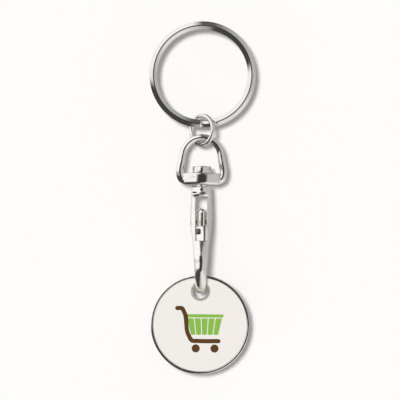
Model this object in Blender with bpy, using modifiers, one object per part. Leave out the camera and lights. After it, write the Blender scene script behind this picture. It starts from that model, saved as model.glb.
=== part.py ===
"""Coin holder keyring: split ring, jump ring, swivel bail, sprung claw clasp and coin token.

The keyring hangs along -Z from the top of the split ring's bore, which is the origin.
Its front, with the token's white face, looks along -Y.
"""

import math

import bmesh
import bpy
import numpy as np
from mathutils import Matrix, Vector

MM = 0.001

# Split ring: a flattened wire wound twice round
RING_OUTER_DIAMETER = 25.0 * MM
RING_BAND_WIDTH = 1.9 * MM
RING_WIRE_THICKNESS = 0.9 * MM
RING_COIL_GAP = 0.05 * MM
RING_END_GAP = 0.1 * MM
RING_STEP_ANGLE = math.radians(18.5)
RING_SECTION_POWER = 2.4
RING_STATIONS_PER_TURN = 64

# Jump ring between the split ring and the bail
LINK_OUTER_DIAMETER = 7.7 * MM
LINK_WIRE_DIAMETER = 1.05 * MM
LINK_TURN = math.radians(41.0)
LINK_CUT_GAP = 0.12 * MM
LINK_CUT_ANGLE = math.radians(250.0)
LINK_HANG = 0.43 * MM
LINK_POINTS = 44

# Swivel bail: wire bell and bored base
BAIL_HANG = 0.28 * MM
BAIL_TOP_WIRE = 1.6 * MM
BAIL_SIDE_WIRE = 1.85 * MM
BAIL_OUTER_WIDTH = 12.1 * MM
BAIL_OUTER_HEIGHT = 11.92 * MM
BAIL_BASE_LENGTH = 8.7 * MM
BAIL_BASE_HEIGHT = 2.72 * MM
BAIL_BASE_DEPTH = 5.0 * MM
BAIL_BASE_END_DEPTH = 2.7 * MM
BAIL_BASE_EDGE = 0.25 * MM
BAIL_CROWN_RADIUS = 4.45 * MM
BAIL_CROWN_SWEEP = math.radians(68.0)
# Across and down from the crown, as shares of the wire's half spread and of its drop
BAIL_SIDE_SHARES = [(0.93, 0.55), (1.0, 0.81), (0.92, 0.95), (0.68, 1.0), (0.4, 0.965)]

# Rivet that the clasp swivels on
STUD_HEAD_DIAMETER = 4.5 * MM
STUD_HEAD_HEIGHT = 1.64 * MM
STUD_HEAD_EDGE = 0.3 * MM
STUD_HEAD_DOME = 0.1 * MM
STUD_SHANK_DIAMETER = 2.2 * MM
STUD_SEAT_DEPTH = 1.7 * MM
STUD_RUNNING_GAP = 0.06 * MM
STUD_SEAT_GAP = 0.02 * MM

# Clasp body: collar, fork, spine and claw
COLLAR_DIAMETER = 4.8 * MM
COLLAR_HEIGHT = 1.4 * MM
COLLAR_EDGE = 0.22 * MM
COLLAR_GAP = 0.45 * MM
CLASP_HEIGHT = 25.05 * MM
FORK_WIDTH = 4.86 * MM
FORK_PIN_WIDTH = 5.3 * MM
FORK_DEPTH = 5.2 * MM
FORK_POWER = 3.4
FORK_HEIGHT = 7.9 * MM
LINTEL_HEIGHT = 0.95 * MM
SLOT_WIDTH = 2.65 * MM
WINDOW_HEIGHT = 6.9 * MM
SPINE_TOP_WIDTH = 3.86 * MM
SPINE_LOW_WIDTH = 2.95 * MM
SLOT_HEIGHT = 10.5 * MM
WEB_THICKNESS = 0.8 * MM
WEB_BACK = 1.4 * MM
WEB_LEAN = math.radians(20.0)
WEB_CORE_STEP = 0.05 * MM
WEB_HOLE_WIDTH = 0.95 * MM
WEB_HOLE_HEIGHT = 1.2 * MM
THROAT_CORNER = 0.9 * MM
THROAT_STRAIGHT = 3.6 * MM
CLAW_RISE = 5.85 * MM
CLAW_THICKNESS = 2.0 * MM
CLAW_FRONT_REACH = 5.1 * MM
CLAW_FRONT_THICKNESS = 2.55 * MM
CLAW_BACK_REACH = 6.3 * MM
CLAW_BACK_THICKNESS = 2.0 * MM
CLAW_EYE_WIDTH = 2.15 * MM
CLAW_TIP_WIDTH = 2.6 * MM
CLAW_TIP_HEIGHT = 1.25 * MM
CLAW_TONGUE_THICKNESS = 1.0 * MM
CLAW_POWER = 2.3

# Gate lever with its thumb tab
LEVER_WIDTH = 2.25 * MM
LEVER_PIN_BACK = 0.8 * MM
LEVER_PIN_DROP = 8.44 * MM
LEVER_HUB_THICKNESS = 2.5 * MM
LEVER_GATE_THICKNESS = 2.1 * MM
LEVER_TAB_THICKNESS = 1.5 * MM
LEVER_TAB_REACH = 5.5 * MM
LEVER_TAB_RISE = 2.75 * MM
LEVER_NOSE_DIP = 0.63 * MM
LEVER_POWER = 3.4
LAP_GAP = 0.12 * MM
PIN_DIAMETER = 1.0 * MM
PIN_PROUD = 0.06 * MM
PIN_SEAT_GAP = 0.02 * MM
PIN_RUNNING_GAP = 0.05 * MM

# Coil spring between the web and the gate
SPRING_WIRE = 0.3 * MM
SPRING_DIAMETER = 1.55 * MM
SPRING_TURNS = 2.75
SPRING_POINTS_PER_TURN = 10
SPRING_DROP = 2.1 * MM
SPRING_POCKET_DIAMETER = 1.8 * MM
SPRING_POCKET_DEPTH = 0.9 * MM
SPRING_END_GAP = 0.03 * MM

# Token with its raised rims and lacquered front
TOKEN_DIAMETER = 23.2 * MM
TOKEN_THICKNESS = 2.0 * MM
TOKEN_SETBACK = 0.25 * MM
TOKEN_RIM_WIDTH = 0.62 * MM
TOKEN_RIM_EDGE = 0.2 * MM
TOKEN_RECESS = 0.28 * MM
TOKEN_HOLE_DIAMETER = 3.4 * MM
TOKEN_HOLE_MARGIN = 0.88 * MM
TOKEN_HOLE_DROP = 0.47 * MM
TOKEN_BOSS_DIAMETER = 4.5 * MM
TOKEN_BOSS_RECESS = 0.05 * MM
INLAY_THICKNESS = 0.2 * MM
INLAY_GAP = 0.03 * MM

OVERRUN = 1.0 * MM
WELD = 0.001 * MM
SMOOTH_ANGLE = math.radians(35.0)

# Heights, from the hang point down
ring_inner_radius = RING_OUTER_DIAMETER / 2 - RING_BAND_WIDTH
ring_mid_radius = RING_OUTER_DIAMETER / 2 - RING_BAND_WIDTH / 2
ring_centre_z = -ring_inner_radius
ring_bar_z = ring_centre_z - ring_mid_radius
link_inner_radius = LINK_OUTER_DIAMETER / 2 - LINK_WIRE_DIAMETER
link_mid_radius = LINK_OUTER_DIAMETER / 2 - LINK_WIRE_DIAMETER / 2
link_centre_z = ring_centre_z - ring_inner_radius + LINK_HANG - link_inner_radius
bail_crown_z = link_centre_z - link_inner_radius + BAIL_HANG + BAIL_TOP_WIRE / 2
bail_swing_z = bail_crown_z - BAIL_CROWN_RADIUS
bail_bottom_z = bail_crown_z + BAIL_TOP_WIRE / 2 - BAIL_OUTER_HEIGHT
base_top_z = bail_bottom_z + BAIL_BASE_HEIGHT
collar_top_z = bail_bottom_z - COLLAR_GAP
fork_top_z = collar_top_z - COLLAR_HEIGHT
fork_bottom_z = fork_top_z - FORK_HEIGHT
window_top_z = fork_top_z - LINTEL_HEIGHT
window_bottom_z = window_top_z - WINDOW_HEIGHT
slot_end_z = window_top_z - SLOT_HEIGHT
pin_z = collar_top_z - LEVER_PIN_DROP
pin_y = LEVER_PIN_BACK
claw_bottom_z = collar_top_z - CLASP_HEIGHT
claw_centre_z = claw_bottom_z + CLAW_RISE
claw_eye_z = claw_bottom_z + CLAW_THICKNESS / 2
arch_z = claw_centre_z + THROAT_STRAIGHT
arch_height = fork_bottom_z - arch_z
nose_drop = pin_z - claw_centre_z + LEVER_NOSE_DIP
tongue_y = CLAW_BACK_REACH - CLAW_TONGUE_THICKNESS
tongue_reach = math.hypot(tongue_y - pin_y, pin_z - claw_centre_z - CLAW_TIP_HEIGHT)
hole_z = claw_eye_z - TOKEN_HOLE_DROP
hole_offset = TOKEN_DIAMETER / 2 - TOKEN_RIM_WIDTH - TOKEN_HOLE_MARGIN - TOKEN_BOSS_DIAMETER / 2
token_z = hole_z - hole_offset


def clear_scene():
    """Remove whatever the open file holds."""
    for item in list(bpy.data.objects):
        bpy.data.objects.remove(item, do_unlink=True)


def collection_named(name):
    """A new collection linked to the scene."""
    made = bpy.data.collections.new(name)
    bpy.context.scene.collection.children.link(made)
    return made


clear_scene()
keyring = collection_named("coin_holder_keyring")
cutters = collection_named("cutters")


def metal(name, colour, roughness, metallic=1.0):
    """A plain material for one piece."""
    made = bpy.data.materials.new(name)
    made.use_nodes = True
    shader = made.node_tree.nodes["Principled BSDF"]
    shader.inputs["Base Color"].default_value = (*colour, 1.0)
    shader.inputs["Roughness"].default_value = roughness
    shader.inputs["Metallic"].default_value = metallic
    return made


def joint_empty(name, parent, place):
    """An empty on a joint's axis, at a place given in the keyring's own frame."""
    made = bpy.data.objects.new(name, None)
    made.empty_display_size = BAIL_TOP_WIRE
    keyring.objects.link(made)
    made["place"] = place
    made.location = place
    if parent:
        made.parent = parent
        made.location = Vector(place) - Vector(parent["place"])
    return made


def object_from(name, mesh, collection=None):
    """A new object that shows a mesh."""
    made = bpy.data.objects.new(name, mesh)
    (collection or keyring).objects.link(made)
    return made


def move_to(piece, collection):
    """Keep an object in one collection only."""
    for shown in list(piece.users_collection):
        shown.objects.unlink(piece)
    collection.objects.link(piece)


def seat(piece, empty, material):
    """Hang a piece, modelled in the keyring's frame, on the empty of its body."""
    move_to(piece, keyring)
    offset = Vector(empty["place"])
    piece.data.transform(Matrix.Translation(-offset) @ piece.matrix_basis)
    piece.matrix_basis = Matrix.Identity(4)
    piece.parent = empty
    piece.data.materials.clear()
    piece.data.materials.append(material)
    piece.data.shade_smooth()
    piece.data.set_sharp_from_angle(angle=SMOOTH_ANGLE)
    return piece


def cut_with(piece, tool, operation="DIFFERENCE"):
    """Add a Boolean and keep its second shape as a wire guide."""
    step = piece.modifiers.new(tool.name, "BOOLEAN")
    step.operation = operation
    step.object = tool
    step.solver = "EXACT"
    tool.hide_render = True
    tool.display_type = "WIRE"
    move_to(tool, cutters)


def apply_steps(piece):
    """Replace a piece's mesh by what its modifiers make of it."""
    bpy.context.view_layer.update()
    graph = bpy.context.evaluated_depsgraph_get()
    mesh = bpy.data.meshes.new_from_object(piece.evaluated_get(graph))
    piece.modifiers.clear()
    piece.data = mesh
    return piece


def mesh_of_curve(curve_object):
    """Turn a curve object into a welded mesh object of the same name."""
    bpy.context.view_layer.update()
    graph = bpy.context.evaluated_depsgraph_get()
    mesh = bpy.data.meshes.new_from_object(curve_object.evaluated_get(graph))
    shape = bmesh.new()
    shape.from_mesh(mesh)
    bmesh.ops.remove_doubles(shape, verts=shape.verts, dist=WELD)
    bmesh.ops.recalc_face_normals(shape, faces=shape.faces)
    shape.to_mesh(mesh)
    shape.free()
    name = curve_object.name
    matrix = curve_object.matrix_world.copy()
    bpy.data.objects.remove(curve_object, do_unlink=True)
    made = object_from(name, mesh)
    made.matrix_world = matrix
    return made


def wire(name, points, diameter, radii=None, resolution=2):
    """A round wire along an open run of points."""
    curve = bpy.data.curves.new(name, "CURVE")
    curve.dimensions = "3D"
    curve.bevel_depth = diameter / 2
    curve.bevel_resolution = resolution
    curve.use_fill_caps = True
    spline = curve.splines.new("POLY")
    spline.points.add(len(points) - 1)
    for index, point in enumerate(points):
        spline.points[index].co = (*point, 1.0)
        if radii is not None:
            spline.points[index].radius = radii[index]
    return mesh_of_curve(object_from(name, curve))


def plate(name, outlines, thickness):
    """A flat plate, extruded along its own Z, from closed outlines; inner ones are holes."""
    curve = bpy.data.curves.new(name, "CURVE")
    curve.dimensions = "2D"
    curve.fill_mode = "BOTH"
    curve.extrude = thickness / 2
    for outline in outlines:
        spline = curve.splines.new("POLY")
        spline.points.add(len(outline) - 1)
        for index, (across, up) in enumerate(outline):
            spline.points[index].co = (across, up, 0, 1.0)
        spline.use_cyclic_u = True
    return mesh_of_curve(object_from(name, curve))


def circle(radius, count, centre=(0, 0)):
    """Points round a circle."""
    turn = np.arange(count) * (2 * math.pi / count)
    return [(centre[0] + radius * math.cos(a), centre[1] + radius * math.sin(a)) for a in turn]


def box(name, size, place, lean=0.0):
    """A box cutter of a given size, leaned about X."""
    bpy.ops.mesh.primitive_cube_add(size=1, location=place, rotation=(lean, 0, 0))
    made = bpy.context.object
    made.name = name
    made.data.transform(Matrix.Diagonal((*size, 1.0)))
    return made


def rod(name, diameter, length, place, axis, sides=40):
    """A cylinder along X, Y or Z."""
    turns = {"X": (0, math.pi / 2, 0), "Y": (math.pi / 2, 0, 0), "Z": (0, 0, 0)}
    bpy.ops.mesh.primitive_cylinder_add(
        vertices=sides, radius=diameter / 2, depth=length, location=place, rotation=turns[axis]
    )
    made = bpy.context.object
    made.name = name
    return made


def turned(name, profile, steps):
    """A solid turned about its own Z from (radius, height) points, listed from the top down."""
    mesh = bpy.data.meshes.new(name)
    edges = [(index, index + 1) for index in range(len(profile) - 1)]
    mesh.from_pydata([(radius, 0, height) for radius, height in profile], edges, [])
    made = object_from(name, mesh)
    spin = made.modifiers.new("turn", "SCREW")
    spin.axis = "Z"
    spin.steps = steps
    spin.render_steps = steps
    spin.use_merge_vertices = True
    spin.merge_threshold = WELD
    return apply_steps(made)


def section(centre, side, lift, half_side, half_lift, power, count):
    """A rounded section: |a|^power + |b|^power = 1 along its side and lift directions."""
    turn = np.arange(count) * (2 * math.pi / count)
    a = np.sign(np.cos(turn)) * np.abs(np.cos(turn)) ** (2 / power)
    b = np.sign(np.sin(turn)) * np.abs(np.sin(turn)) ** (2 / power)
    return (
        np.asarray(centre)
        + np.outer(a * half_side, np.asarray(side))
        + np.outer(b * half_lift, np.asarray(lift))
    )


def loft(name, sections):
    """A closed solid through sections with the same number of points, flat at both ends."""
    shape = bmesh.new()
    rows = [[shape.verts.new(point) for point in ring] for ring in sections]
    for low, high in zip(rows, rows[1:]):
        for index in range(len(low)):
            after = (index + 1) % len(low)
            shape.faces.new((low[index], low[after], high[after], high[index]))
    shape.faces.new(reversed(rows[0]))
    shape.faces.new(rows[-1])
    bmesh.ops.recalc_face_normals(shape, faces=shape.faces)
    mesh = bpy.data.meshes.new(name)
    shape.to_mesh(mesh)
    shape.free()
    return object_from(name, mesh)


def smooth(x, stations, values):
    """A smooth curve through values at rising stations, with the slopes of its neighbours."""
    stations = np.asarray(stations, float)
    values = np.asarray(values, float)
    slopes = np.gradient(values, stations)
    x = np.clip(x, stations[0], stations[-1])
    place = np.clip(np.searchsorted(stations, x) - 1, 0, len(stations) - 2)
    span = stations[place + 1] - stations[place]
    t = (x - stations[place]) / span
    rise = values[place + 1] - values[place]
    bend_a = slopes[place] * span - rise
    bend_b = rise - slopes[place + 1] * span
    return values[place] + rise * t + t * (1 - t) * (bend_a * (1 - t) + bend_b * t)


def ease(share):
    """A step from 0 to 1 that starts and ends level."""
    return 0.5 - 0.5 * np.cos(math.pi * np.clip(share, 0, 1))


ring_body = joint_empty("ring_hang_point", None, (0, 0, 0))
link_body = joint_empty("link_swing_axis", ring_body, (0, 0, ring_bar_z))
bail_body = joint_empty("bail_swing_axis", link_body, (0, 0, bail_swing_z))
clasp_body_axis = joint_empty("swivel_axis", bail_body, (0, 0, collar_top_z))
gate_body = joint_empty("gate_axis", clasp_body_axis, (0, pin_y, pin_z))
token_body = joint_empty("token_swing_axis", clasp_body_axis, (0, TOKEN_SETBACK, claw_eye_z))


def make_split_ring():
    """Two turns of flat wire; over a short step the wire crosses from the front to the back."""
    layer_y = (RING_WIRE_THICKNESS + RING_COIL_GAP) / 2
    end_angle = RING_END_GAP / ring_mid_radius
    last = 4 * math.pi - RING_STEP_ANGLE - end_angle
    count = round(RING_STATIONS_PER_TURN * last / (2 * math.pi))
    turn = np.linspace(end_angle, last, count)
    across = ease((turn - (2 * math.pi - RING_STEP_ANGLE)) / RING_STEP_ANGLE)
    sections = []
    for angle, share in zip(turn, across):
        outward = (-math.sin(angle), 0, -math.cos(angle))
        centre = np.array(outward) * ring_mid_radius
        centre += (0, layer_y * (2 * share - 1), ring_centre_z)
        sections.append(
            section(
                centre,
                outward,
                (0, 1, 0),
                RING_BAND_WIDTH / 2,
                RING_WIRE_THICKNESS / 2,
                RING_SECTION_POWER,
                12,
            )
        )
    return loft("split_ring", sections)


def make_connector_link():
    """A round wire bent to a ring, turned from the ring's plane, its cut on the far side."""
    cut = LINK_CUT_GAP / link_mid_radius
    turn = LINK_CUT_ANGLE + np.linspace(cut / 2, 2 * math.pi - cut / 2, LINK_POINTS)
    near = Vector((math.cos(LINK_TURN), -math.sin(LINK_TURN), 0))
    points = [
        near * (link_mid_radius * math.sin(a))
        + Vector((0, 0, link_centre_z + link_mid_radius * math.cos(a)))
        for a in turn
    ]
    return wire("connector_link", points, LINK_WIRE_DIAMETER)


def make_swivel_bail():
    """A bell of round wire run into the two ends of a barrel-fronted base, bored for the stud."""
    half_spread = (BAIL_OUTER_WIDTH - BAIL_SIDE_WIRE) / 2
    low_z = bail_bottom_z + BAIL_SIDE_WIRE / 2
    drop = bail_crown_z - low_z
    crown = [
        (BAIL_CROWN_RADIUS * math.sin(a), BAIL_CROWN_RADIUS * (1 - math.cos(a)))
        for a in np.linspace(0, BAIL_CROWN_SWEEP, 5)
    ]
    runs = np.array(crown + [(a * half_spread, b * drop) for a, b in BAIL_SIDE_SHARES])
    station = np.concatenate(([0], np.cumsum(np.hypot(*np.diff(runs, axis=0).T))))
    fine = np.linspace(0, station[-1], 31)
    x = smooth(fine, station, runs[:, 0])
    z = bail_crown_z - smooth(fine, station, runs[:, 1])
    thick = ease((bail_crown_z - z - BAIL_CROWN_RADIUS / 2) / BAIL_CROWN_RADIUS)
    radii = (BAIL_TOP_WIRE + (BAIL_SIDE_WIRE - BAIL_TOP_WIRE) * thick) / BAIL_SIDE_WIRE
    right = [(a, 0, b) for a, b in zip(x, z)]
    left = [(-a, 0, b) for a, _, b in reversed(right[1:])]
    bell = wire("bail_bell", left + right, BAIL_SIDE_WIRE, [*reversed(radii[1:]), *radii], 3)

    half_length = BAIL_BASE_LENGTH / 2
    half_depth = BAIL_BASE_DEPTH / 2
    end_share = BAIL_BASE_END_DEPTH / BAIL_BASE_DEPTH
    sweep = math.acos(end_share)
    front = np.linspace(-sweep, sweep, 17)
    bow = [(half_length * math.sin(a) / math.sin(sweep), half_depth * math.cos(a)) for a in front]
    outline = bow + [(a, -b) for a, b in reversed(bow)]
    base = plate("swivel_bail", [outline], BAIL_BASE_HEIGHT)
    base.data.transform(Matrix.Translation((0, 0, bail_bottom_z + BAIL_BASE_HEIGHT / 2)))
    edge = base.modifiers.new("edges", "BEVEL")
    edge.width = BAIL_BASE_EDGE
    edge.segments = 2
    edge.limit_method = "ANGLE"
    edge.angle_limit = math.radians(50.0)
    cut_with(base, bell, "UNION")
    bore_diameter = STUD_SHANK_DIAMETER + 2 * STUD_RUNNING_GAP
    bore_length = BAIL_BASE_HEIGHT + 2 * OVERRUN
    bore_z = bail_bottom_z + BAIL_BASE_HEIGHT / 2
    cut_with(base, rod("stud_bore", bore_diameter, bore_length, (0, 0, bore_z), "Z"))
    return apply_steps(base)


def make_swivel_stud():
    """A flat-headed rivet: the head turns on the base and the shank is pressed in the collar."""
    head_z = base_top_z + STUD_RUNNING_GAP
    top_z = head_z + STUD_HEAD_HEIGHT
    head = STUD_HEAD_DIAMETER / 2
    shank = STUD_SHANK_DIAMETER / 2
    end_z = collar_top_z - STUD_SEAT_DEPTH + STUD_SEAT_GAP
    profile = [
        (0, top_z),
        (head / 2, top_z - STUD_HEAD_DOME / 4),
        (head - STUD_HEAD_EDGE, top_z - STUD_HEAD_DOME),
        (head - STUD_HEAD_EDGE / 3, top_z - STUD_HEAD_DOME - STUD_HEAD_EDGE / 3),
        (head, top_z - STUD_HEAD_DOME - STUD_HEAD_EDGE),
        (head, head_z + STUD_HEAD_DOME),
        (head - STUD_HEAD_DOME, head_z),
        (shank, head_z),
        (shank, end_z + STUD_HEAD_DOME),
        (shank - STUD_HEAD_DOME, end_z),
        (0, end_z),
    ]
    return turned("swivel_stud", profile, 40)


def fork_and_spine_sections(count):
    """Level sections of the collar, the fork and the spine, from the top down."""
    collar = COLLAR_DIAMETER / 2
    half_depth = FORK_DEPTH / 2
    inner_y = CLAW_FRONT_THICKNESS - CLAW_FRONT_REACH
    corner_y = half_depth - THROAT_CORNER
    straight_z = (claw_centre_z + arch_z) / 2
    side, lift = (1, 0, 0), (0, 1, 0)

    rings = []
    edge_shares = [(0.0, 1.0), (0.5, 0.3), (1.0, 0.0)]
    for drop_share, narrow_share in edge_shares:
        half = collar - COLLAR_EDGE * narrow_share
        edge_z = collar_top_z - COLLAR_EDGE * drop_share
        rings.append(section((0, 0, edge_z), side, lift, half, half, 2, count))
    neck_z = fork_top_z + COLLAR_EDGE
    rings.append(section((0, 0, neck_z), side, lift, collar, collar, 2, count))

    corner_angles = np.linspace(0, math.pi / 2, 4)
    arch_angles = np.linspace(0, math.pi / 2, 14)[1:]
    heights = [
        *np.linspace(fork_top_z - COLLAR_EDGE, fork_bottom_z + THROAT_CORNER, 7),
        *(fork_bottom_z + THROAT_CORNER * (1 - np.sin(corner_angles[1:]))),
        *(arch_z + arch_height * np.cos(arch_angles)),
        straight_z,
    ]
    backs = [
        *[half_depth] * 7,
        *(corner_y + THROAT_CORNER * np.cos(corner_angles[1:])),
        *(corner_y + (inner_y - corner_y) * np.sin(arch_angles)),
        inner_y,
    ]
    width_z = [claw_centre_z, slot_end_z, pin_z, window_top_z, fork_top_z]
    widths = [SPINE_LOW_WIDTH, SPINE_TOP_WIDTH, FORK_PIN_WIDTH, FORK_WIDTH, FORK_WIDTH]
    bulge_top_z = (pin_z + window_top_z) / 2
    for z, back in zip(heights, backs):
        bulge = ease((bulge_top_z - z) / (bulge_top_z - straight_z))
        front = -half_depth + (half_depth - CLAW_FRONT_REACH) * bulge
        half_width = smooth(z, width_z, widths) / 2
        slender = ease((fork_bottom_z - z) / (fork_bottom_z - arch_z))
        power = FORK_POWER + (CLAW_POWER - FORK_POWER) * slender
        centre = (0, (front + back) / 2, z)
        rings.append(section(centre, side, lift, half_width, (back - front) / 2, power, count))
    return rings


def claw_sections(count):
    """Sections round the claw's bow and up its tip, each across the bow."""
    turns = np.linspace(math.pi, 2 * math.pi, 23)
    widths = [SPINE_LOW_WIDTH, (SPINE_LOW_WIDTH + CLAW_EYE_WIDTH) / 2, CLAW_EYE_WIDTH]
    widths += [(CLAW_EYE_WIDTH + CLAW_TIP_WIDTH) / 2, CLAW_TIP_WIDTH]
    places = [math.pi, 1.27 * math.pi, 1.5 * math.pi, 1.75 * math.pi, 2 * math.pi]
    rings = []
    for turn in turns:
        front = turn < 1.5 * math.pi
        reach = CLAW_FRONT_REACH if front else CLAW_BACK_REACH
        thick = CLAW_FRONT_THICKNESS if front else CLAW_BACK_THICKNESS
        cos, sin = math.cos(turn), math.sin(turn)
        outer = np.array((0, reach * cos, claw_centre_z + CLAW_RISE * sin))
        inner_rise = CLAW_RISE - CLAW_THICKNESS
        inner = np.array((0, (reach - thick) * cos, claw_centre_z + inner_rise * sin))
        half = np.linalg.norm(inner - outer) / 2
        lift = (inner - outer) / (2 * half)
        half_width = float(smooth(turn, places, widths)) / 2
        centre = (inner + outer) / 2
        rings.append(section(centre, (1, 0, 0), lift, half_width, half, CLAW_POWER, count))
    tip_z = claw_centre_z + CLAW_TIP_HEIGHT + CLAW_TONGUE_THICKNESS
    centre = (0, CLAW_BACK_REACH - CLAW_BACK_THICKNESS / 2, tip_z)
    half_width, half = CLAW_TIP_WIDTH / 2, CLAW_BACK_THICKNESS / 2
    rings.append(section(centre, (1, 0, 0), (0, -1, 0), half_width, half, CLAW_POWER, count))
    return rings


def yz_plate(name, outline, thickness):
    """A plate whose outline is given in Y and Z, extruded along X."""
    made = plate(name, [outline], thickness)
    made.data.transform(Matrix(((0, 0, 1, 0), (1, 0, 0, 0), (0, 1, 0, 0), (0, 0, 0, 1))))
    return made


def arc_about_pin(reach, from_y, to_y, count=13):
    """Points in Y and Z below the pin, at one reach from it."""
    return [(y, pin_z - math.sqrt(reach**2 - (y - pin_y) ** 2)) for y in np.linspace(from_y, to_y, count)]


def make_clasp_body():
    """Collar, fork, spine and claw in one casting, with the slot, web, bores and lap seat."""
    count = 24
    body = loft("clasp_body", fork_and_spine_sections(count) + claw_sections(count))

    depth = CLAW_FRONT_REACH + CLAW_BACK_REACH
    window_size = (SLOT_WIDTH, depth, WINDOW_HEIGHT)
    window = box("window", window_size, (0, 0, window_top_z - WINDOW_HEIGHT / 2))
    corners = window.modifiers.new("corners", "BEVEL")
    corners.width = COLLAR_EDGE
    corners.segments = 2
    cut_with(body, window)

    slot_high_z = window_bottom_z + COLLAR_EDGE
    slot_size = (SLOT_WIDTH, depth, slot_high_z - arch_z)
    slot_place = (0, depth / 2 - WEB_BACK, (slot_high_z + arch_z) / 2)
    cut_with(body, box("gate_slot", slot_size, slot_place))

    web_face = np.array((0, -WEB_BACK - WEB_THICKNESS, window_bottom_z))
    run = (window_bottom_z - slot_end_z) / math.cos(WEB_LEAN)
    along = np.array((0, math.sin(WEB_LEAN), math.cos(WEB_LEAN)))
    out = np.array((0, -math.cos(WEB_LEAN), math.sin(WEB_LEAN)))
    recess_depth = CLAW_FRONT_REACH
    recess_width = SLOT_WIDTH - 2 * WEB_CORE_STEP
    high = SPRING_POCKET_DEPTH
    middle = web_face + out * (recess_depth / 2) + along * ((high - run) / 2)
    recess = box("web_recess", (recess_width, recess_depth, run + high), middle, -WEB_LEAN)
    cut_with(body, recess)

    spring_z = pin_z - SPRING_DROP
    hole_size = (WEB_HOLE_WIDTH, depth, WEB_HOLE_HEIGHT)
    hole_x = (WEB_HOLE_WIDTH - SLOT_WIDTH) / 2 + COLLAR_EDGE
    cut_with(body, box("web_hole", hole_size, (hole_x, -depth / 2, spring_z)))

    bore = PIN_DIAMETER + 2 * PIN_SEAT_GAP
    cut_with(body, rod("pin_bore", bore, 2 * FORK_PIN_WIDTH, (0, pin_y, pin_z), "X"))
    stud_bore = STUD_SHANK_DIAMETER + 2 * STUD_SEAT_GAP
    stud_place = (0, 0, collar_top_z)
    cut_with(body, rod("stud_seat", stud_bore, 2 * STUD_SEAT_DEPTH, stud_place, "Z"))

    high_z = claw_centre_z + CLAW_RISE
    back_y = CLAW_BACK_REACH + OVERRUN
    low_y = pin_y + LEVER_GATE_THICKNESS / 2
    seat_reach = math.hypot(tongue_y - LAP_GAP - pin_y, nose_drop) + LAP_GAP
    outline = [
        (back_y, high_z),
        *arc_about_pin(tongue_reach, back_y, tongue_y),
        *arc_about_pin(seat_reach, tongue_y, low_y),
        (low_y, high_z),
    ]
    cut_with(body, yz_plate("lap_seat", outline, 2 * CLAW_TIP_WIDTH))
    return apply_steps(body)


def lever_path(fine):
    """The lever's centre line in Y and Z, from the tab's tip over the pin to the gate's nose.

    Each point is the mean of three along a smooth curve, so the bend stays wider than the bar.
    """
    gate_y = CLAW_BACK_REACH - LAP_GAP - LEVER_GATE_THICKNESS / 2 - pin_y
    tab_shares = [(1.0, 1.0), (0.62, 0.8), (0.28, 0.47)]
    gate_shares = [(0.0, 0.0), (0.14, 0.18), (0.52, 0.4), (0.83, 0.62), (0.97, 0.8), (1.0, 1.0)]
    runs = [(pin_y + a * LEVER_TAB_REACH, pin_z + b * LEVER_TAB_RISE) for a, b in tab_shares]
    runs += [(pin_y + a * gate_y, pin_z - b * nose_drop) for a, b in gate_shares]
    runs = np.array(runs)
    lengths = np.hypot(*np.diff(runs, axis=0).T)
    station = np.concatenate(([0], np.cumsum(lengths)))
    s = np.linspace(0, station[-1], fine)
    hub = (LEVER_HUB_THICKNESS + LEVER_TAB_THICKNESS) / 2
    gate = LEVER_GATE_THICKNESS
    thick = [LEVER_TAB_THICKNESS, LEVER_TAB_THICKNESS, hub, LEVER_HUB_THICKNESS, gate]
    thick += [gate] * (len(runs) - len(thick))
    spread = np.minimum(LEVER_HUB_THICKNESS / 3, np.minimum(s, station[-1] - s))
    path = np.zeros((fine, 2))
    for near in (s - spread, s, s + spread):
        path += np.column_stack([smooth(near, station, run) for run in runs.T]) / 3
    return path, smooth(s, station, thick), s


def make_gate_lever():
    """A bar of rounded section bent over the pin: thumb tab above, gate and lapped nose below."""
    path, thick, s = lever_path(46)
    heading = np.gradient(path, s, axis=0)
    heading /= np.linalg.norm(heading, axis=1)[:, None]
    tip = LEVER_WIDTH / 2
    tip_width_share, tip_depth_share = 0.35, 0.45
    rings = []
    for place, (hy, hz), depth, along in zip(path, heading, thick, s):
        left = min(along / tip, 1.0)
        round_end = math.sqrt(1 - (1 - left) ** 2)
        half_width = tip * max(round_end, tip_width_share)
        half_depth = depth / 2 * max(math.sqrt(round_end), tip_depth_share)
        centre = (0, place[0], place[1])
        rings.append(section(centre, (1, 0, 0), (0, -hz, hy), half_width, half_depth, LEVER_POWER, 20))
    lever = loft("gate_lever", rings)

    bore = PIN_DIAMETER + 2 * PIN_RUNNING_GAP
    cut_with(lever, rod("lever_bore", bore, 2 * LEVER_WIDTH, (0, pin_y, pin_z), "X"))

    nose_face_y = tongue_y - LAP_GAP
    back_y = CLAW_BACK_REACH + OVERRUN
    low_z = pin_z - 2 * nose_drop
    step = arc_about_pin(tongue_reach - LAP_GAP, nose_face_y, back_y)
    step += [(back_y, low_z), (nose_face_y, low_z)]
    cut_with(lever, yz_plate("lap_step", step, 2 * LEVER_WIDTH))

    spring_z = pin_z - SPRING_DROP
    pocket_length = 2 * LEVER_HUB_THICKNESS
    pocket_y = spring_seat_y() - pocket_length / 2
    pocket = rod("spring_pocket", SPRING_POCKET_DIAMETER, pocket_length, (0, pocket_y, spring_z), "Y")
    cut_with(lever, pocket)
    return apply_steps(lever)


def spring_seat_y():
    """Depth of the pocket's floor in the gate, from where the gate's front lies at the spring."""
    path, thick, s = lever_path(400)
    below = path[:, 1] < pin_z
    level = np.argmin(np.abs(path[below, 1] - (pin_z - SPRING_DROP)))
    front = path[below, 0][level] - thick[below][level] / 2
    return float(front) + SPRING_POCKET_DEPTH


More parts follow.
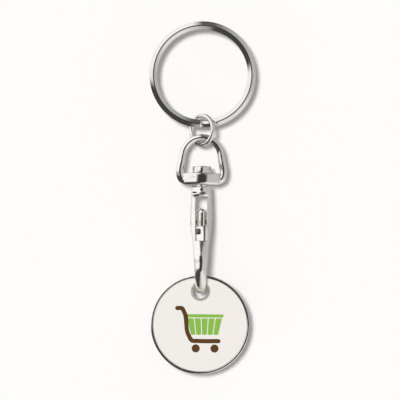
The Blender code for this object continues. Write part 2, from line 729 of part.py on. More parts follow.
def make_pivot_pin():
    """A plain cross pin whose ends stand a little proud of the fork."""
    length = FORK_PIN_WIDTH + 2 * PIN_PROUD
    pin = rod("pivot_pin", PIN_DIAMETER, length, (0, pin_y, pin_z), "X")
    edge = pin.modifiers.new("edges", "BEVEL")
    edge.width = 2 * PIN_PROUD
    edge.segments = 1
    edge.limit_method = "ANGLE"
    return apply_steps(pin)


def make_gate_spring():
    """A helix of round wire along Y; prints the least gap between its turns."""
    start_y = -WEB_BACK + SPRING_END_GAP + SPRING_WIRE / 2
    end_y = spring_seat_y() - SPRING_END_GAP - SPRING_WIRE / 2
    radius = (SPRING_DIAMETER - SPRING_WIRE) / 2
    turn = np.linspace(0, SPRING_TURNS, round(SPRING_TURNS * SPRING_POINTS_PER_TURN) + 1)
    angle = turn * 2 * math.pi
    y = start_y + (end_y - start_y) * turn / SPRING_TURNS
    points = np.column_stack([radius * np.cos(angle), y, pin_z - SPRING_DROP + radius * np.sin(angle)])
    apart = np.linalg.norm(points[:, None] - points[None], axis=2)
    steps = np.abs(np.subtract.outer(np.arange(len(points)), np.arange(len(points))))
    least = apart[steps > SPRING_POINTS_PER_TURN / 2].min() - SPRING_WIRE
    print(f"gate_spring: least gap to itself {least / MM:.3f} mm")
    return wire("gate_spring", [Vector(p) for p in points], SPRING_WIRE, resolution=1)


def face_outward(piece, place):
    """Turn a piece made along Z so that its top looks along -Y, and put it in its place."""
    piece.data.transform(Matrix.Translation(place) @ Matrix.Rotation(math.pi / 2, 4, "X"))
    return piece


def make_token_disc():
    """A coin-sized disc: raised rims, a sunk field on each side, and a bossed hole near the rim."""
    outer = TOKEN_DIAMETER / 2
    inner = outer - TOKEN_RIM_WIDTH
    half = TOKEN_THICKNESS / 2
    field = half - TOKEN_RECESS
    edge = TOKEN_RIM_EDGE
    upper = [
        (0, field),
        (inner, field),
        (inner, half - edge / 3),
        (inner + edge / 3, half),
        (outer - edge, half),
        (outer - edge / 3, half - edge / 3),
        (outer, half - edge),
    ]
    profile = upper + [(radius, -height) for radius, height in reversed(upper)]
    disc = face_outward(turned("token_disc", profile, 72), (0, TOKEN_SETBACK, token_z))
    boss_length = 2 * (half - TOKEN_BOSS_RECESS)
    hole_place = (0, TOKEN_SETBACK, hole_z)
    cut_with(disc, rod("hole_boss", TOKEN_BOSS_DIAMETER, boss_length, hole_place, "Y"), "UNION")
    hole_length = TOKEN_THICKNESS + 2 * OVERRUN
    cut_with(disc, rod("hole", TOKEN_HOLE_DIAMETER, hole_length, hole_place, "Y"))
    return apply_steps(disc)


def make_face_inlay():
    """The lacquered layer that fills the front recess round the boss."""
    outer = TOKEN_DIAMETER / 2 - TOKEN_RIM_WIDTH - INLAY_GAP
    hole = TOKEN_BOSS_DIAMETER / 2 + INLAY_GAP
    outlines = [circle(outer, 72), circle(hole, 40, (0, hole_offset))]
    inlay = plate("face_inlay", outlines, INLAY_THICKNESS)
    field_y = TOKEN_SETBACK - TOKEN_THICKNESS / 2 + TOKEN_RECESS
    return face_outward(inlay, (0, field_y - INLAY_GAP - INLAY_THICKNESS / 2, token_z))


nickel = (0.80, 0.79, 0.77)
seat(make_split_ring(), ring_body, metal("ring_nickel", nickel, 0.12))
seat(make_connector_link(), link_body, metal("link_nickel", nickel, 0.14))
seat(make_swivel_bail(), bail_body, metal("bail_nickel", nickel, 0.12))
seat(make_swivel_stud(), clasp_body_axis, metal("stud_nickel", nickel, 0.15))
seat(make_clasp_body(), clasp_body_axis, metal("clasp_nickel", nickel, 0.12))
seat(make_pivot_pin(), clasp_body_axis, metal("pin_steel", (0.6, 0.6, 0.6), 0.25))
seat(make_gate_spring(), clasp_body_axis, metal("spring_steel", (0.45, 0.45, 0.45), 0.3))
seat(make_gate_lever(), gate_body, metal("lever_nickel", nickel, 0.14))
seat(make_token_disc(), token_body, metal("token_nickel", (0.72, 0.71, 0.69), 0.22))
seat(make_face_inlay(), token_body, metal("white_lacquer", (0.85, 0.84, 0.81), 0.35, 0.0))
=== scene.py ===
"""Looks of the coin holder keyring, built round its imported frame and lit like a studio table-top."""
import math

import bmesh
import bpy
import numpy as np
from mathutils import Matrix, Vector


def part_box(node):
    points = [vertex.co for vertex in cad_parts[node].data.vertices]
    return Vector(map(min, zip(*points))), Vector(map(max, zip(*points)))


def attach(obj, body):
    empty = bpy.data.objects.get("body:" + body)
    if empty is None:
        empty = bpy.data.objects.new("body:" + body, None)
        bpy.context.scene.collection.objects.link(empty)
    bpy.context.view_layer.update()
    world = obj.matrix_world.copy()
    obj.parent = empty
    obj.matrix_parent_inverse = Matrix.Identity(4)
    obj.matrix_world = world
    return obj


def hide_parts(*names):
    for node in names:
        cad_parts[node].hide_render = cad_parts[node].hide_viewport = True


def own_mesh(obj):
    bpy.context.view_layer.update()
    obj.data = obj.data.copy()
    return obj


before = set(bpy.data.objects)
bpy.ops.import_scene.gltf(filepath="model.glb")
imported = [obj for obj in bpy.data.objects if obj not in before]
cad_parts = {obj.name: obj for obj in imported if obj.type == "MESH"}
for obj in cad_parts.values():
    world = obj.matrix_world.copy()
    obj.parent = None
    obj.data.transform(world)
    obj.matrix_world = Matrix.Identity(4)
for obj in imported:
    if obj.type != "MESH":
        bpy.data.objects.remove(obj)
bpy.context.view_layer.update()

# Split ring: spring steel wire of flattened oval section, wound twice round and nickel plated.
# Over a short step at the bottom the wire crosses from the front coil to the back one, and
# its two cut ends lie against that step.
MM = 0.001
RING_BAND = 1.9
RING_WIRE = 0.9
RING_LAYER = 0.475
RING_STEP = math.radians(18.5)
RING_END_GAP = 0.1
RING_END_ROUND = 0.12
RING_POWER = 1.68
RING_STATIONS = 640
RING_SIDES = 36
STEEL_RING = (0.77, 0.75, 0.715)
NICKEL = (0.84, 0.82, 0.785)
# A finish's scales and depths are in metres; sizes elsewhere are in millimetres
CLOUD_SCALE = 260.0
CLOUD_DETAIL = 4.0
CLOUD_RANGE = (0.5, 0.85)
CLOUD_TINT = 0.86
CLOUD_HAZE = 0.08
WAVE_DETAIL = 1.0
WAVE_DEPTH = 0.0004
HAIRLINE_SCALE = (9000.0, 9000.0, 500.0)
HAIRLINE_TURN = (0.3, 0.5, 0.2)
HAIRLINE_DETAIL = 3.0
HAIRLINE_DEPTH = 0.00001
SHARP_EDGE = math.radians(40)
WELD = 0.0001


def place_of(node):
    """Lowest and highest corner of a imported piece, in millimetres."""
    low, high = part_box(node)
    return np.array(low) / MM, np.array(high) / MM


def oval(power, count):
    """Points round |a|^power + |b|^power = 1, closer together where the curve is tight."""
    turn = np.arange(count) * (2 * math.pi / count)
    cos, sin = np.cos(turn), np.sin(turn)
    share = 2 / np.atleast_1d(power)[:, None]
    return np.sign(cos) * np.abs(cos) ** share, np.sign(sin) * np.abs(sin) ** share


def swept(path, side, lift, half_side, half_lift, power, count):
    """Sections of an oval carried along a path: centre + a * half_side * side + b * half_lift * lift."""
    a, b = oval(power, count)
    rows = len(path)
    side, lift = np.broadcast_to(side, (rows, 3)), np.broadcast_to(lift, (rows, 3))
    across = np.broadcast_to(half_side, rows)[:, None] * a
    along = np.broadcast_to(half_lift, rows)[:, None] * b
    return np.asarray(path)[:, None] + across[..., None] * side[:, None] + along[..., None] * lift[:, None]


def scene_object(name, data):
    """A mesh, lamp or camera put into the scene."""
    thing = bpy.data.objects.new(name, data)
    bpy.context.scene.collection.objects.link(thing)
    return thing


def skin(name, grid, ring=False):
    """A closed mesh, in millimetres, over rows of points; open rows are capped at both ends.
    Doubles are merged and every face is turned outward."""
    rows, around = grid.shape[:2]
    first = np.arange(rows if ring else rows - 1)[:, None] * around
    second = (first + around) % (rows * around)
    column = np.arange(around)
    after = (column + 1) % around
    faces = np.stack([first + column, first + after, second + after, second + column], -1)
    faces = faces.reshape(-1, 4).tolist()
    if not ring:
        faces += [column.tolist(), (column + (rows - 1) * around).tolist()]
    mesh = bpy.data.meshes.new(name)
    mesh.from_pydata(grid.reshape(-1, 3).tolist(), [], faces)
    shape = bmesh.new()
    shape.from_mesh(mesh)
    bmesh.ops.remove_doubles(shape, verts=shape.verts, dist=WELD)
    bmesh.ops.recalc_face_normals(shape, faces=shape.faces)
    shape.to_mesh(mesh)
    shape.free()
    return scene_object(name, mesh)


def to_metres(piece):
    """Bring a finished piece from millimetres to metres and shade it smooth between its edges."""
    piece.data.transform(Matrix.Scale(MM, 4))
    piece.data.shade_smooth()
    piece.data.set_sharp_from_angle(angle=SHARP_EDGE)
    return piece


def wired(node, inputs):
    """A node whose input sockets take values or the outputs of other nodes."""
    for name, given in inputs.items():
        if isinstance(given, bpy.types.NodeSocket):
            node.id_data.links.new(given, node.inputs[name])
        else:
            node.inputs[name].default_value = given
    return node


def noise(nodes, place, scale, detail):
    """Smooth noise over a place, from 0 to 1."""
    made = wired(nodes.new("ShaderNodeTexNoise"), {"Vector": place, "Scale": scale, "Detail": detail})
    return made.outputs["Fac"]


def mixed(nodes, share, first, second):
    """A colour between two others, by a share."""
    mix = nodes.new("ShaderNodeMix")
    mix.data_type = "RGBA"
    return wired(mix, {"Factor": share, "A": first, "B": second}).outputs["Result"]


def figured(nodes, operation, *values):
    """The result of a Math node on numbers or other nodes' outputs."""
    made = nodes.new("ShaderNodeMath")
    made.operation = operation
    return wired(made, dict(enumerate(values))).outputs["Value"]


def finish_group(name, colours, numbers):
    """An empty node group: colours and numbers go in, and Color, Roughness and Normal come out."""
    group = bpy.data.node_groups.new(name, "ShaderNodeTree")
    for label in colours:
        group.interface.new_socket(label, in_out="INPUT", socket_type="NodeSocketColor")
    for label in numbers:
        group.interface.new_socket(label, in_out="INPUT", socket_type="NodeSocketFloat")
    for label, kind in (("Color", "Color"), ("Roughness", "Float"), ("Normal", "Vector")):
        group.interface.new_socket(label, in_out="OUTPUT", socket_type="NodeSocket" + kind)
    return group


def plated_finish():
    """Node group of bright plating: a tint that clouds over, a haze that rises with the cloud, and
    the bumps of the metal under it: slow waves and hairlines, each with its own strength."""
    group = finish_group("plated_finish", ("Tint", "Cloud"), ("Haze", "Wave", "Wave Size", "Hairline"))
    nodes = group.nodes
    given = nodes.new("NodeGroupInput").outputs
    place = nodes.new("ShaderNodeTexCoord").outputs["Object"]
    cloud = wired(nodes.new("ShaderNodeMapRange"), {
        "Value": noise(nodes, place, CLOUD_SCALE, CLOUD_DETAIL),
        "From Min": CLOUD_RANGE[0],
        "From Max": CLOUD_RANGE[1],
    }).outputs["Result"]
    slow = wired(nodes.new("ShaderNodeBump"), {
        "Height": noise(nodes, place, given["Wave Size"], WAVE_DETAIL),
        "Strength": given["Wave"],
        "Distance": WAVE_DEPTH,
    })
    drawn = wired(nodes.new("ShaderNodeMapping"), {
        "Vector": place,
        "Scale": HAIRLINE_SCALE,
        "Rotation": HAIRLINE_TURN,
    })
    fine = wired(nodes.new("ShaderNodeBump"), {
        "Height": noise(nodes, drawn.outputs["Vector"], 1.0, HAIRLINE_DETAIL),
        "Strength": given["Hairline"],
        "Distance": HAIRLINE_DEPTH,
        "Normal": slow.outputs["Normal"],
    })
    wired(nodes.new("NodeGroupOutput"), {
        "Color": mixed(nodes, cloud, given["Tint"], given["Cloud"]),
        "Roughness": figured(nodes, "MULTIPLY_ADD", cloud, CLOUD_HAZE, given["Haze"]),
        "Normal": fine.outputs["Normal"],
    })
    return group


def dress(piece, name, group, metallic, inputs):
    """Give a piece a material whose colour, haze and bumps come from a finish's node group."""
    material = bpy.data.materials.new(name)
    material.use_nodes = True
    nodes = material.node_tree.nodes
    shader = nodes["Principled BSDF"]
    shader.inputs["Metallic"].default_value = metallic
    finish = nodes.new("ShaderNodeGroup")
    finish.node_tree = group
    made = wired(finish, inputs).outputs
    wired(shader, {"Base Color": made["Color"], "Roughness": made["Roughness"], "Normal": made["Normal"]})
    piece.data.materials.append(material)


PLATED = plated_finish()


def plate(piece, name, tint, haze, wave, wave_size, hairline, cloud=CLOUD_TINT):
    """Give a piece bright metal in the plated finish."""
    dress(piece, name, PLATED, 1.0, {
        "Tint": (*tint, 1),
        "Cloud": (*(cloud * np.array(tint)), 1),
        "Haze": haze,
        "Wave": wave,
        "Wave Size": wave_size,
        "Hairline": hairline,
    })


ring_low, ring_high = place_of("split_ring")
ring_centre = (ring_low + ring_high) / 2
ring_outer = (ring_high[0] - ring_low[0]) / 2
ring_mid = ring_outer - RING_BAND / 2


def ring_sections():
    """Angle runs twice round; depth steps from the front layer to the back one by a half cosine."""
    ends = RING_END_GAP / ring_mid
    turn = np.linspace(ends, 4 * math.pi - RING_STEP - ends, RING_STATIONS)
    share = np.clip((turn - (2 * math.pi - RING_STEP)) / RING_STEP, 0, 1)
    depth = -RING_LAYER * np.cos(math.pi * share)
    out = np.column_stack([-np.sin(turn), 0 * turn, -np.cos(turn)])
    path = ring_centre + out * ring_mid + depth[:, None] * (0, 1, 0)
    reach = ring_mid * np.minimum(turn - turn[0], turn[-1] - turn)
    narrow = RING_END_ROUND * (1 - np.sqrt(1 - (1 - np.clip(reach / RING_END_ROUND, 0, 1)) ** 2))
    half_band, half_wire = RING_BAND / 2 - narrow, RING_WIRE / 2 - narrow
    return swept(path, out, (0, 1, 0), half_band, half_wire, RING_POWER, RING_SIDES)


split_ring = to_metres(skin("ring_coils", ring_sections()))
plate(split_ring, "ring_plating", STEEL_RING, haze=0.07, wave=0.012, wave_size=300.0, hairline=0.04)
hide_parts("split_ring")
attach(split_ring, "ring")

# Jump ring: round wire bent to a circle, its butt joint turned to the far side. It hangs on
# the split ring's two coils and carries the bail.
LINK_WIRE = 1.05
LINK_TURN = math.radians(41)
LINK_CUT = math.radians(250)
LINK_CUT_GAP = 0.12
ROUND_POWER = 2
LINK_STATIONS = 200
LINK_SIDES = 32
link_low, link_high = place_of("connector_link")
link_centre = (link_low + link_high) / 2
link_mid = (link_high[2] - link_low[2] - LINK_WIRE) / 2


def link_sections():
    """One turn of round wire in a plane through Z, with a narrow butt joint."""
    half_gap = LINK_CUT_GAP / 2 / link_mid
    turn = LINK_CUT + np.linspace(half_gap, 2 * math.pi - half_gap, LINK_STATIONS)
    near = np.array((math.cos(LINK_TURN), -math.sin(LINK_TURN), 0))
    beside = np.array((math.sin(LINK_TURN), math.cos(LINK_TURN), 0))
    out = np.sin(turn)[:, None] * near + np.cos(turn)[:, None] * (0, 0, 1)
    middle = np.array((0, 0, link_centre[2]))
    path = middle + out * link_mid
    return swept(path, out, beside, LINK_WIRE / 2, LINK_WIRE / 2, ROUND_POWER, LINK_SIDES)


jump_ring = to_metres(skin("jump_ring", link_sections()))
plate(jump_ring, "link_plating", NICKEL, haze=0.06, wave=0.03, wave_size=600.0, hairline=0.05)
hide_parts("connector_link")
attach(jump_ring, "link")

# Swivel bail: one zinc casting, nickel plated. A bell of round wire runs down into the two
# ends of a barrel-shaped base, which is bored for the rivet and rounded off below.
BAIL_TOP_WIRE = 1.6
BAIL_SIDE_WIRE = 1.85
BAIL_WIRE_POWER = 2.35
BAIL_CROWN_RADIUS = 4.45
BAIL_CROWN_SWEEP = math.radians(68)
BAIL_SIDE_SHARES = ((0.93, 0.55), (1.0, 0.81), (0.92, 0.95), (0.68, 1.0), (0.4, 0.965))
BAIL_BASE_LENGTH = 8.3
BAIL_BASE_HEIGHT = 2.72
BAIL_BASE_DEPTH = 5.0
BAIL_BASE_END_DEPTH = 2.7
BAIL_BASE_ROUND = 0.5
CROWN_STATIONS = 9
BELL_STATIONS = 321
BELL_SIDES = 48
BOW_POINTS = 60
QUARTER_ROWS = 9
STUD_SHANK = 2.2
STUD_RUNNING_GAP = 0.06
ROD_SIDES = 96
OVERRUN = 1.0
CAST_GRAIN = 0.075
CAST_PASSES = 34
CAST_RELAX = 0.5
bail_low, bail_high = place_of("swivel_bail")
bail_base_top = bail_low[2] + BAIL_BASE_HEIGHT


def smooth(x, stations, values):
    """Cubic curve through values at rising stations, with the slopes of its neighbours."""
    stations, values = np.asarray(stations, float), np.asarray(values, float)
    slopes = np.gradient(values, stations)
    x = np.clip(x, stations[0], stations[-1])
    place = np.clip(np.searchsorted(stations, x) - 1, 0, len(stations) - 2)
    span = stations[place + 1] - stations[place]
    t = (x - stations[place]) / span
    rise = values[place + 1] - values[place]
    bend_a = slopes[place] * span - rise
    bend_b = rise - slopes[place + 1] * span
    return values[place] + rise * t + t * (1 - t) * (bend_a * (1 - t) + bend_b * t)


def ease(share):
    """A step from 0 to 1 that starts and ends level: half a cosine wave."""
    return (1 - np.cos(math.pi * np.clip(share, 0, 1))) / 2


def unit(vectors):
    """Rows of vectors, each brought to length 1."""
    return vectors / np.linalg.norm(vectors, axis=1)[:, None]


def distance_along(points):
    """How far along a run of points each of them lies: the sum of the straight steps to it."""
    return np.concatenate(([0], np.cumsum(np.hypot(*np.diff(points, axis=0).T))))


def circle(count):
    """Evenly spaced points round a circle of radius 1."""
    turn = np.linspace(0, 2 * math.pi, count, endpoint=False)
    return np.column_stack([np.cos(turn), np.sin(turn)])


def prism(name, outline, axis, low, high):
    """An outline, in the two directions across an axis, carried along it from low to high."""
    rows = [np.insert(np.asarray(outline, float), axis, level, axis=1) for level in (low, high)]
    return skin(name, np.stack(rows))


def rod(name, diameter, axis, low, high, centre):
    """A round bar along an axis."""
    return prism(name, circle(ROD_SIDES) * (diameter / 2) + centre, axis, low, high)


def worked(piece, added=(), removed=(), grain=None, passes=CAST_PASSES):
    """Join shapes to a piece and cut shapes from it; a grain then remakes its skin at that
    spacing and relaxes it in so many passes, which leaves the soft corners of a casting."""
    for operation, tools in (("UNION", added), ("DIFFERENCE", removed)):
        for tool in tools:
            step = piece.modifiers.new(tool.name, "BOOLEAN")
            step.operation = operation
            step.object = tool
            step.solver = "EXACT"
    if grain:
        remade = piece.modifiers.new("grain", "REMESH")
        remade.mode = "VOXEL"
        remade.voxel_size = grain
        relaxed = piece.modifiers.new("relax", "SMOOTH")
        relaxed.factor = CAST_RELAX
        relaxed.iterations = passes
    graph = bpy.context.evaluated_depsgraph_get()
    mesh = bpy.data.meshes.new_from_object(piece.evaluated_get(graph))
    piece.modifiers.clear()
    piece.data = mesh
    for tool in (*added, *removed):
        bpy.data.objects.remove(tool, do_unlink=True)
    return piece


def bell_sections():
    """Round wire down both sides of a bell: an arc at the crown, then a curve through the sides."""
    half_spread = (bail_high[0] - bail_low[0] - BAIL_SIDE_WIRE) / 2
    crown_z = bail_high[2] - BAIL_TOP_WIRE / 2
    drop = crown_z - bail_low[2] - BAIL_SIDE_WIRE / 2
    arc = np.linspace(0, BAIL_CROWN_SWEEP, CROWN_STATIONS)
    crown = np.column_stack([np.sin(arc), 1 - np.cos(arc)]) * BAIL_CROWN_RADIUS
    runs = np.vstack([crown, np.array(BAIL_SIDE_SHARES) * (half_spread, drop)])
    station = distance_along(runs)
    s = np.linspace(-station[-1], station[-1], BELL_STATIONS)
    across = np.sign(s) * smooth(np.abs(s), station, runs[:, 0])
    down = smooth(np.abs(s), station, runs[:, 1])
    path = np.column_stack([across, 0 * s, crown_z - down])
    out = unit(np.cross(np.gradient(path, s, axis=0), (0, 1, 0)))
    thick = ease((down - BAIL_CROWN_RADIUS / 2) / BAIL_CROWN_RADIUS)
    half = (BAIL_TOP_WIRE + (BAIL_SIDE_WIRE - BAIL_TOP_WIRE) * thick) / 2
    return swept(path, out, (0, 1, 0), half, half, BAIL_WIRE_POWER, BELL_SIDES)


def barrel_sections():
    """Base from above: two bows, each x = half length * sin(a) / sin(sweep), y = half depth * cos(a);
    towards its bottom the base draws in by a quarter turn."""
    sweep = math.acos(BAIL_BASE_END_DEPTH / BAIL_BASE_DEPTH)
    turn = np.linspace(-sweep, sweep, BOW_POINTS)
    bow = np.sin(turn) / math.sin(sweep) * BAIL_BASE_LENGTH / 2
    deep = np.cos(turn) * BAIL_BASE_DEPTH / 2
    outline = np.vstack([np.column_stack([bow, deep]), np.column_stack([-bow, -deep])])
    corner = np.linspace(0, math.pi / 2, QUARTER_ROWS)
    inset = np.append(BAIL_BASE_ROUND * (1 - np.sin(corner)), 0)
    rise = np.append(bail_low[2] + BAIL_BASE_ROUND * (1 - np.cos(corner)), bail_base_top)
    drawn_in = 1 - inset[:, None, None] * 2 / np.array((BAIL_BASE_LENGTH, BAIL_BASE_DEPTH))
    level = np.broadcast_to(rise[:, None, None], (len(rise), len(outline), 1))
    return np.concatenate([outline * drawn_in, level], axis=2)


rivet_bore = STUD_SHANK + 2 * STUD_RUNNING_GAP
swivel_bail = worked(
    skin("bail_casting", barrel_sections()),
    added=[skin("bell_wire", bell_sections())],
    removed=[rod("rivet_bore", rivet_bore, 2, bail_low[2] - OVERRUN, bail_base_top + OVERRUN, 0)],
    grain=CAST_GRAIN,
)
to_metres(swivel_bail)
plate(swivel_bail, "bail_plating", NICKEL, haze=0.06, wave=0.11, wave_size=500.0, hairline=0.03)
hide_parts("swivel_bail")
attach(swivel_bail, "bail")

# Rivet: turned steel, nickel plated. Its flat head turns on the bail's base, and its shank is
# pressed into the clasp's collar below.
STUD_EDGE = 0.3
STUD_DOME = 0.1
STUD_HEAD_HEIGHT = 1.64
TURNED_STEPS = 128
CORNER_POINTS = 7
stud_low, stud_high = place_of("swivel_stud")


def softened(corners, cut, closed=False):
    """An outline with rounded corners: each is cut back, and a parabola bridges the cut."""
    corners = np.asarray(corners, float)
    if closed:
        corners = np.vstack([corners[-1:], corners, corners[:1]])
    corner = corners[1:-1]
    cut = np.broadcast_to(cut, len(corner))[:, None]
    back = unit(corners[:-2] - corner) * cut
    ahead = unit(corners[2:] - corner) * cut
    t = np.linspace(0, 1, CORNER_POINTS)[None, :, None]
    bends = corner[:, None] + (1 - t) ** 2 * back[:, None] + t**2 * ahead[:, None]
    bends = bends.reshape(-1, 2)
    return bends if closed else np.vstack([corners[:1], bends, corners[-1:]])


def turned(name, profile, steps=TURNED_STEPS):
    """A profile of radii and heights turned about Z."""
    radius, height = np.asarray(profile, float).T
    grid = radius[:, None, None] * np.insert(circle(steps), 2, 0, axis=1)
    grid[..., 2] += height[:, None]
    return skin(name, grid)


def put(piece, turn, place):
    """Turn a piece made about Z to its own axis and move it to its place."""
    piece.data.transform(Matrix.Translation(Vector(place)) @ turn)
    return piece


head_radius = (stud_high[0] - stud_low[0]) / 2
head_low = stud_high[2] - STUD_HEAD_HEIGHT
stud_profile = softened(
    [
        (0, stud_high[2]),
        (head_radius, stud_high[2] - STUD_DOME),
        (head_radius, head_low),
        (STUD_SHANK / 2, head_low),
        (STUD_SHANK / 2, stud_low[2]),
        (0, stud_low[2]),
    ],
    [STUD_EDGE, STUD_DOME, STUD_DOME, STUD_DOME],
)
swivel_stud = to_metres(turned("rivet", stud_profile))
plate(swivel_stud, "rivet_plating", NICKEL, haze=0.07, wave=0.2, wave_size=600.0, hairline=0.08)
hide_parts("swivel_stud")
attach(swivel_stud, "clasp")

# Clasp body: one zinc casting, nickel plated. Under the collar a fork with a through window
# holds the lever; its spine runs on as a claw that comes up behind and laps over the gate.
COLLAR_DIAMETER = 4.8
COLLAR_HEIGHT = 1.4
COLLAR_EDGE = 0.22
FORK_WIDTH = 4.86
FORK_PIN_WIDTH = 5.1
FORK_DEPTH = 5.2
FORK_POWER = 3.4
FORK_HEIGHT = 7.9
LINTEL_HEIGHT = 0.95
LINTEL_DRAFT = 0.16
SLOT_WIDTH = 2.65
SLOT_HEIGHT = 10.5
WINDOW_HEIGHT = 6.9
SPINE_TOP_WIDTH = 3.94
SPINE_LOW_WIDTH = 2.95
WEB_THICKNESS = 0.8
WEB_BACK = 1.4
WEB_LEAN = math.radians(20)
# The web's face falls back on both sides of a rounded crest, which stands right of its middle
WEB_CAMBER = 0.16
WEB_CREST = 0.7
WEB_CREST_ROUND = 0.5
WEB_HOLE_WIDTH = 0.95
WEB_HOLE_HEIGHT = 1.2
THROAT_CORNER = 0.9
THROAT_STRAIGHT = 3.6
CLAW_RISE = 5.85
CLAW_THICKNESS = 2.0
CLAW_FRONT_THICKNESS = 2.55
CLAW_BACK_THICKNESS = 2.0
CLAW_EYE_WIDTH = 2.15
CLAW_TIP_WIDTH = 2.6
CLAW_TIP_HEIGHT = 1.25
CLAW_TONGUE_THICKNESS = 1.0
CLAW_POWER = 2.3
# Where the claw's widths are given, in half turns round its eye: 1 is in front and 2 behind
CLAW_WIDTH_TURNS = (1, 1.27, 1.5, 1.75, 2)
LEVER_GATE_THICKNESS = 2.1
LEVER_NOSE_DIP = 0.63
LAP_GAP = 0.12
PIN_SEAT_GAP = 0.02
SPRING_DROP = 2.1
SPRING_POCKET_DEPTH = 0.9
CLASP_SIDES = 72
COLLAR_ROWS = 7
FORK_ROWS = 24
CORNER_ROWS = 8
ARCH_ROWS = 40
STRAIGHT_ROWS = 25
CLAW_ROWS = 90
WEB_POINTS = 17
LAP_POINTS = 40
CLASP_GRAIN = 0.081
CLASP_PASSES = 29
clasp_low, clasp_high = place_of("clasp_body")
pin_low, pin_high = place_of("pivot_pin")
pin_y, pin_z = (pin_low[1] + pin_high[1]) / 2, (pin_low[2] + pin_high[2]) / 2
pin_diameter = pin_high[2] - pin_low[2]
front_reach, back_reach = -clasp_low[1], clasp_high[1]
collar_top = clasp_high[2]
fork_top = collar_top - COLLAR_HEIGHT
fork_bottom = fork_top - FORK_HEIGHT
window_top = fork_top - LINTEL_HEIGHT
window_bottom = window_top - WINDOW_HEIGHT
slot_end = window_top - SLOT_HEIGHT
claw_centre = clasp_low[2] + CLAW_RISE
arch_top = claw_centre + THROAT_STRAIGHT
nose_drop = pin_z - claw_centre + LEVER_NOSE_DIP
tongue_y = back_reach - CLAW_TONGUE_THICKNESS
tongue_reach = math.hypot(tongue_y - pin_y, pin_z - claw_centre - CLAW_TIP_HEIGHT)
spring_z = pin_z - SPRING_DROP


def collar_sections():
    """Level circles of the collar, its top edge rounded by a quarter turn."""
    turn = np.linspace(0, math.pi / 2, COLLAR_ROWS)
    rise = np.append(collar_top - COLLAR_EDGE * (1 - np.sin(turn[::-1])), fork_top + COLLAR_EDGE)
    half = COLLAR_DIAMETER / 2 - np.append(COLLAR_EDGE * (1 - np.cos(turn[::-1])), 0)
    path = np.column_stack([0 * rise, 0 * rise, rise])
    return swept(path, (1, 0, 0), (0, 1, 0), half, half, ROUND_POWER, CLASP_SIDES)


def fork_sections():
    """Level rounded oblongs of the fork and spine; the back wall arches in over the throat, the
    front bulges forward by half a cosine, and the lintel over the window has a draft."""
    half_depth = FORK_DEPTH / 2
    inner_y = CLAW_FRONT_THICKNESS - front_reach
    corner_y = half_depth - THROAT_CORNER
    corner = np.linspace(0, math.pi / 2, CORNER_ROWS)[1:]
    arch = np.linspace(0, math.pi / 2, ARCH_ROWS)[1:]
    straight = np.linspace(arch_top, claw_centre, STRAIGHT_ROWS)[1:-1]
    straight_z = (claw_centre + arch_top) / 2
    level = np.linspace(fork_top - COLLAR_EDGE, fork_bottom + THROAT_CORNER, FORK_ROWS)
    z = np.concatenate([
        level,
        fork_bottom + THROAT_CORNER * (1 - np.sin(corner)),
        arch_top + (fork_bottom - arch_top) * np.cos(arch),
        straight,
    ])
    back = np.concatenate([
        np.full(len(level), half_depth),
        corner_y + THROAT_CORNER * np.cos(corner),
        corner_y + (inner_y - corner_y) * np.sin(arch),
        np.full(len(straight), inner_y),
    ])
    width_z = [claw_centre, slot_end, pin_z, window_top, fork_top]
    widths = [SPINE_LOW_WIDTH, SPINE_TOP_WIDTH, FORK_PIN_WIDTH, FORK_WIDTH, FORK_WIDTH]
    bulge_top = (pin_z + window_top) / 2
    front = -half_depth + (half_depth - front_reach) * ease((bulge_top - z) / (bulge_top - straight_z))
    front -= LINTEL_DRAFT * np.clip((z - window_top) / LINTEL_HEIGHT, 0, 1)
    power = FORK_POWER + (CLAW_POWER - FORK_POWER) * ease((fork_bottom - z) / (fork_bottom - arch_top))
    path = np.column_stack([0 * z, (front + back) / 2, z])
    half_width = smooth(z, width_z, widths) / 2
    return swept(path, (1, 0, 0), (0, 1, 0), half_width, (back - front) / 2, power, CLASP_SIDES)


def claw_sections():
    """Rounded sections between an outer and an inner half ellipse, and up the tip behind."""
    turn = np.linspace(math.pi, 2 * math.pi, CLAW_ROWS)
    ahead = turn < 3 * math.pi / 2
    reach = np.where(ahead, front_reach, back_reach)
    thick = np.where(ahead, CLAW_FRONT_THICKNESS, CLAW_BACK_THICKNESS)
    rise = (CLAW_RISE, CLAW_RISE - CLAW_THICKNESS)
    outer, inner = (
        np.column_stack([0 * turn, wide * np.cos(turn), claw_centre + high * np.sin(turn)])
        for wide, high in ((reach, rise[0]), (reach - thick, rise[1]))
    )
    tip_z = claw_centre + CLAW_TIP_HEIGHT + CLAW_TONGUE_THICKNESS
    outer = np.vstack([outer, (0, back_reach, tip_z)])
    inner = np.vstack([inner, (0, back_reach - CLAW_BACK_THICKNESS, tip_z)])
    places = np.array(CLAW_WIDTH_TURNS) * math.pi
    widths = [SPINE_LOW_WIDTH, (SPINE_LOW_WIDTH + CLAW_EYE_WIDTH) / 2, CLAW_EYE_WIDTH]
    widths += [(CLAW_EYE_WIDTH + CLAW_TIP_WIDTH) / 2, CLAW_TIP_WIDTH]
    half_width = smooth(np.append(turn, 2 * math.pi), places, widths) / 2
    half = np.linalg.norm(inner - outer, axis=1) / 2
    lift = (inner - outer) / (2 * half[:, None])
    return swept((inner + outer) / 2, (1, 0, 0), lift, half_width, half, CLAW_POWER, CLASP_SIDES)


def oblong(low, high, cut):
    """A rectangle between two corners, its own corners rounded."""
    (left, bottom), (right, top) = low, high
    return softened([(left, bottom), (right, bottom), (right, top), (left, top)], cut, closed=True)


def about_pin(reach, from_y, to_y):
    """Points in Y and Z on the arc of one reach below the pin."""
    y = np.linspace(from_y, to_y, LAP_POINTS)
    return np.column_stack([y, pin_z - np.sqrt(reach**2 - (y - pin_y) ** 2)])


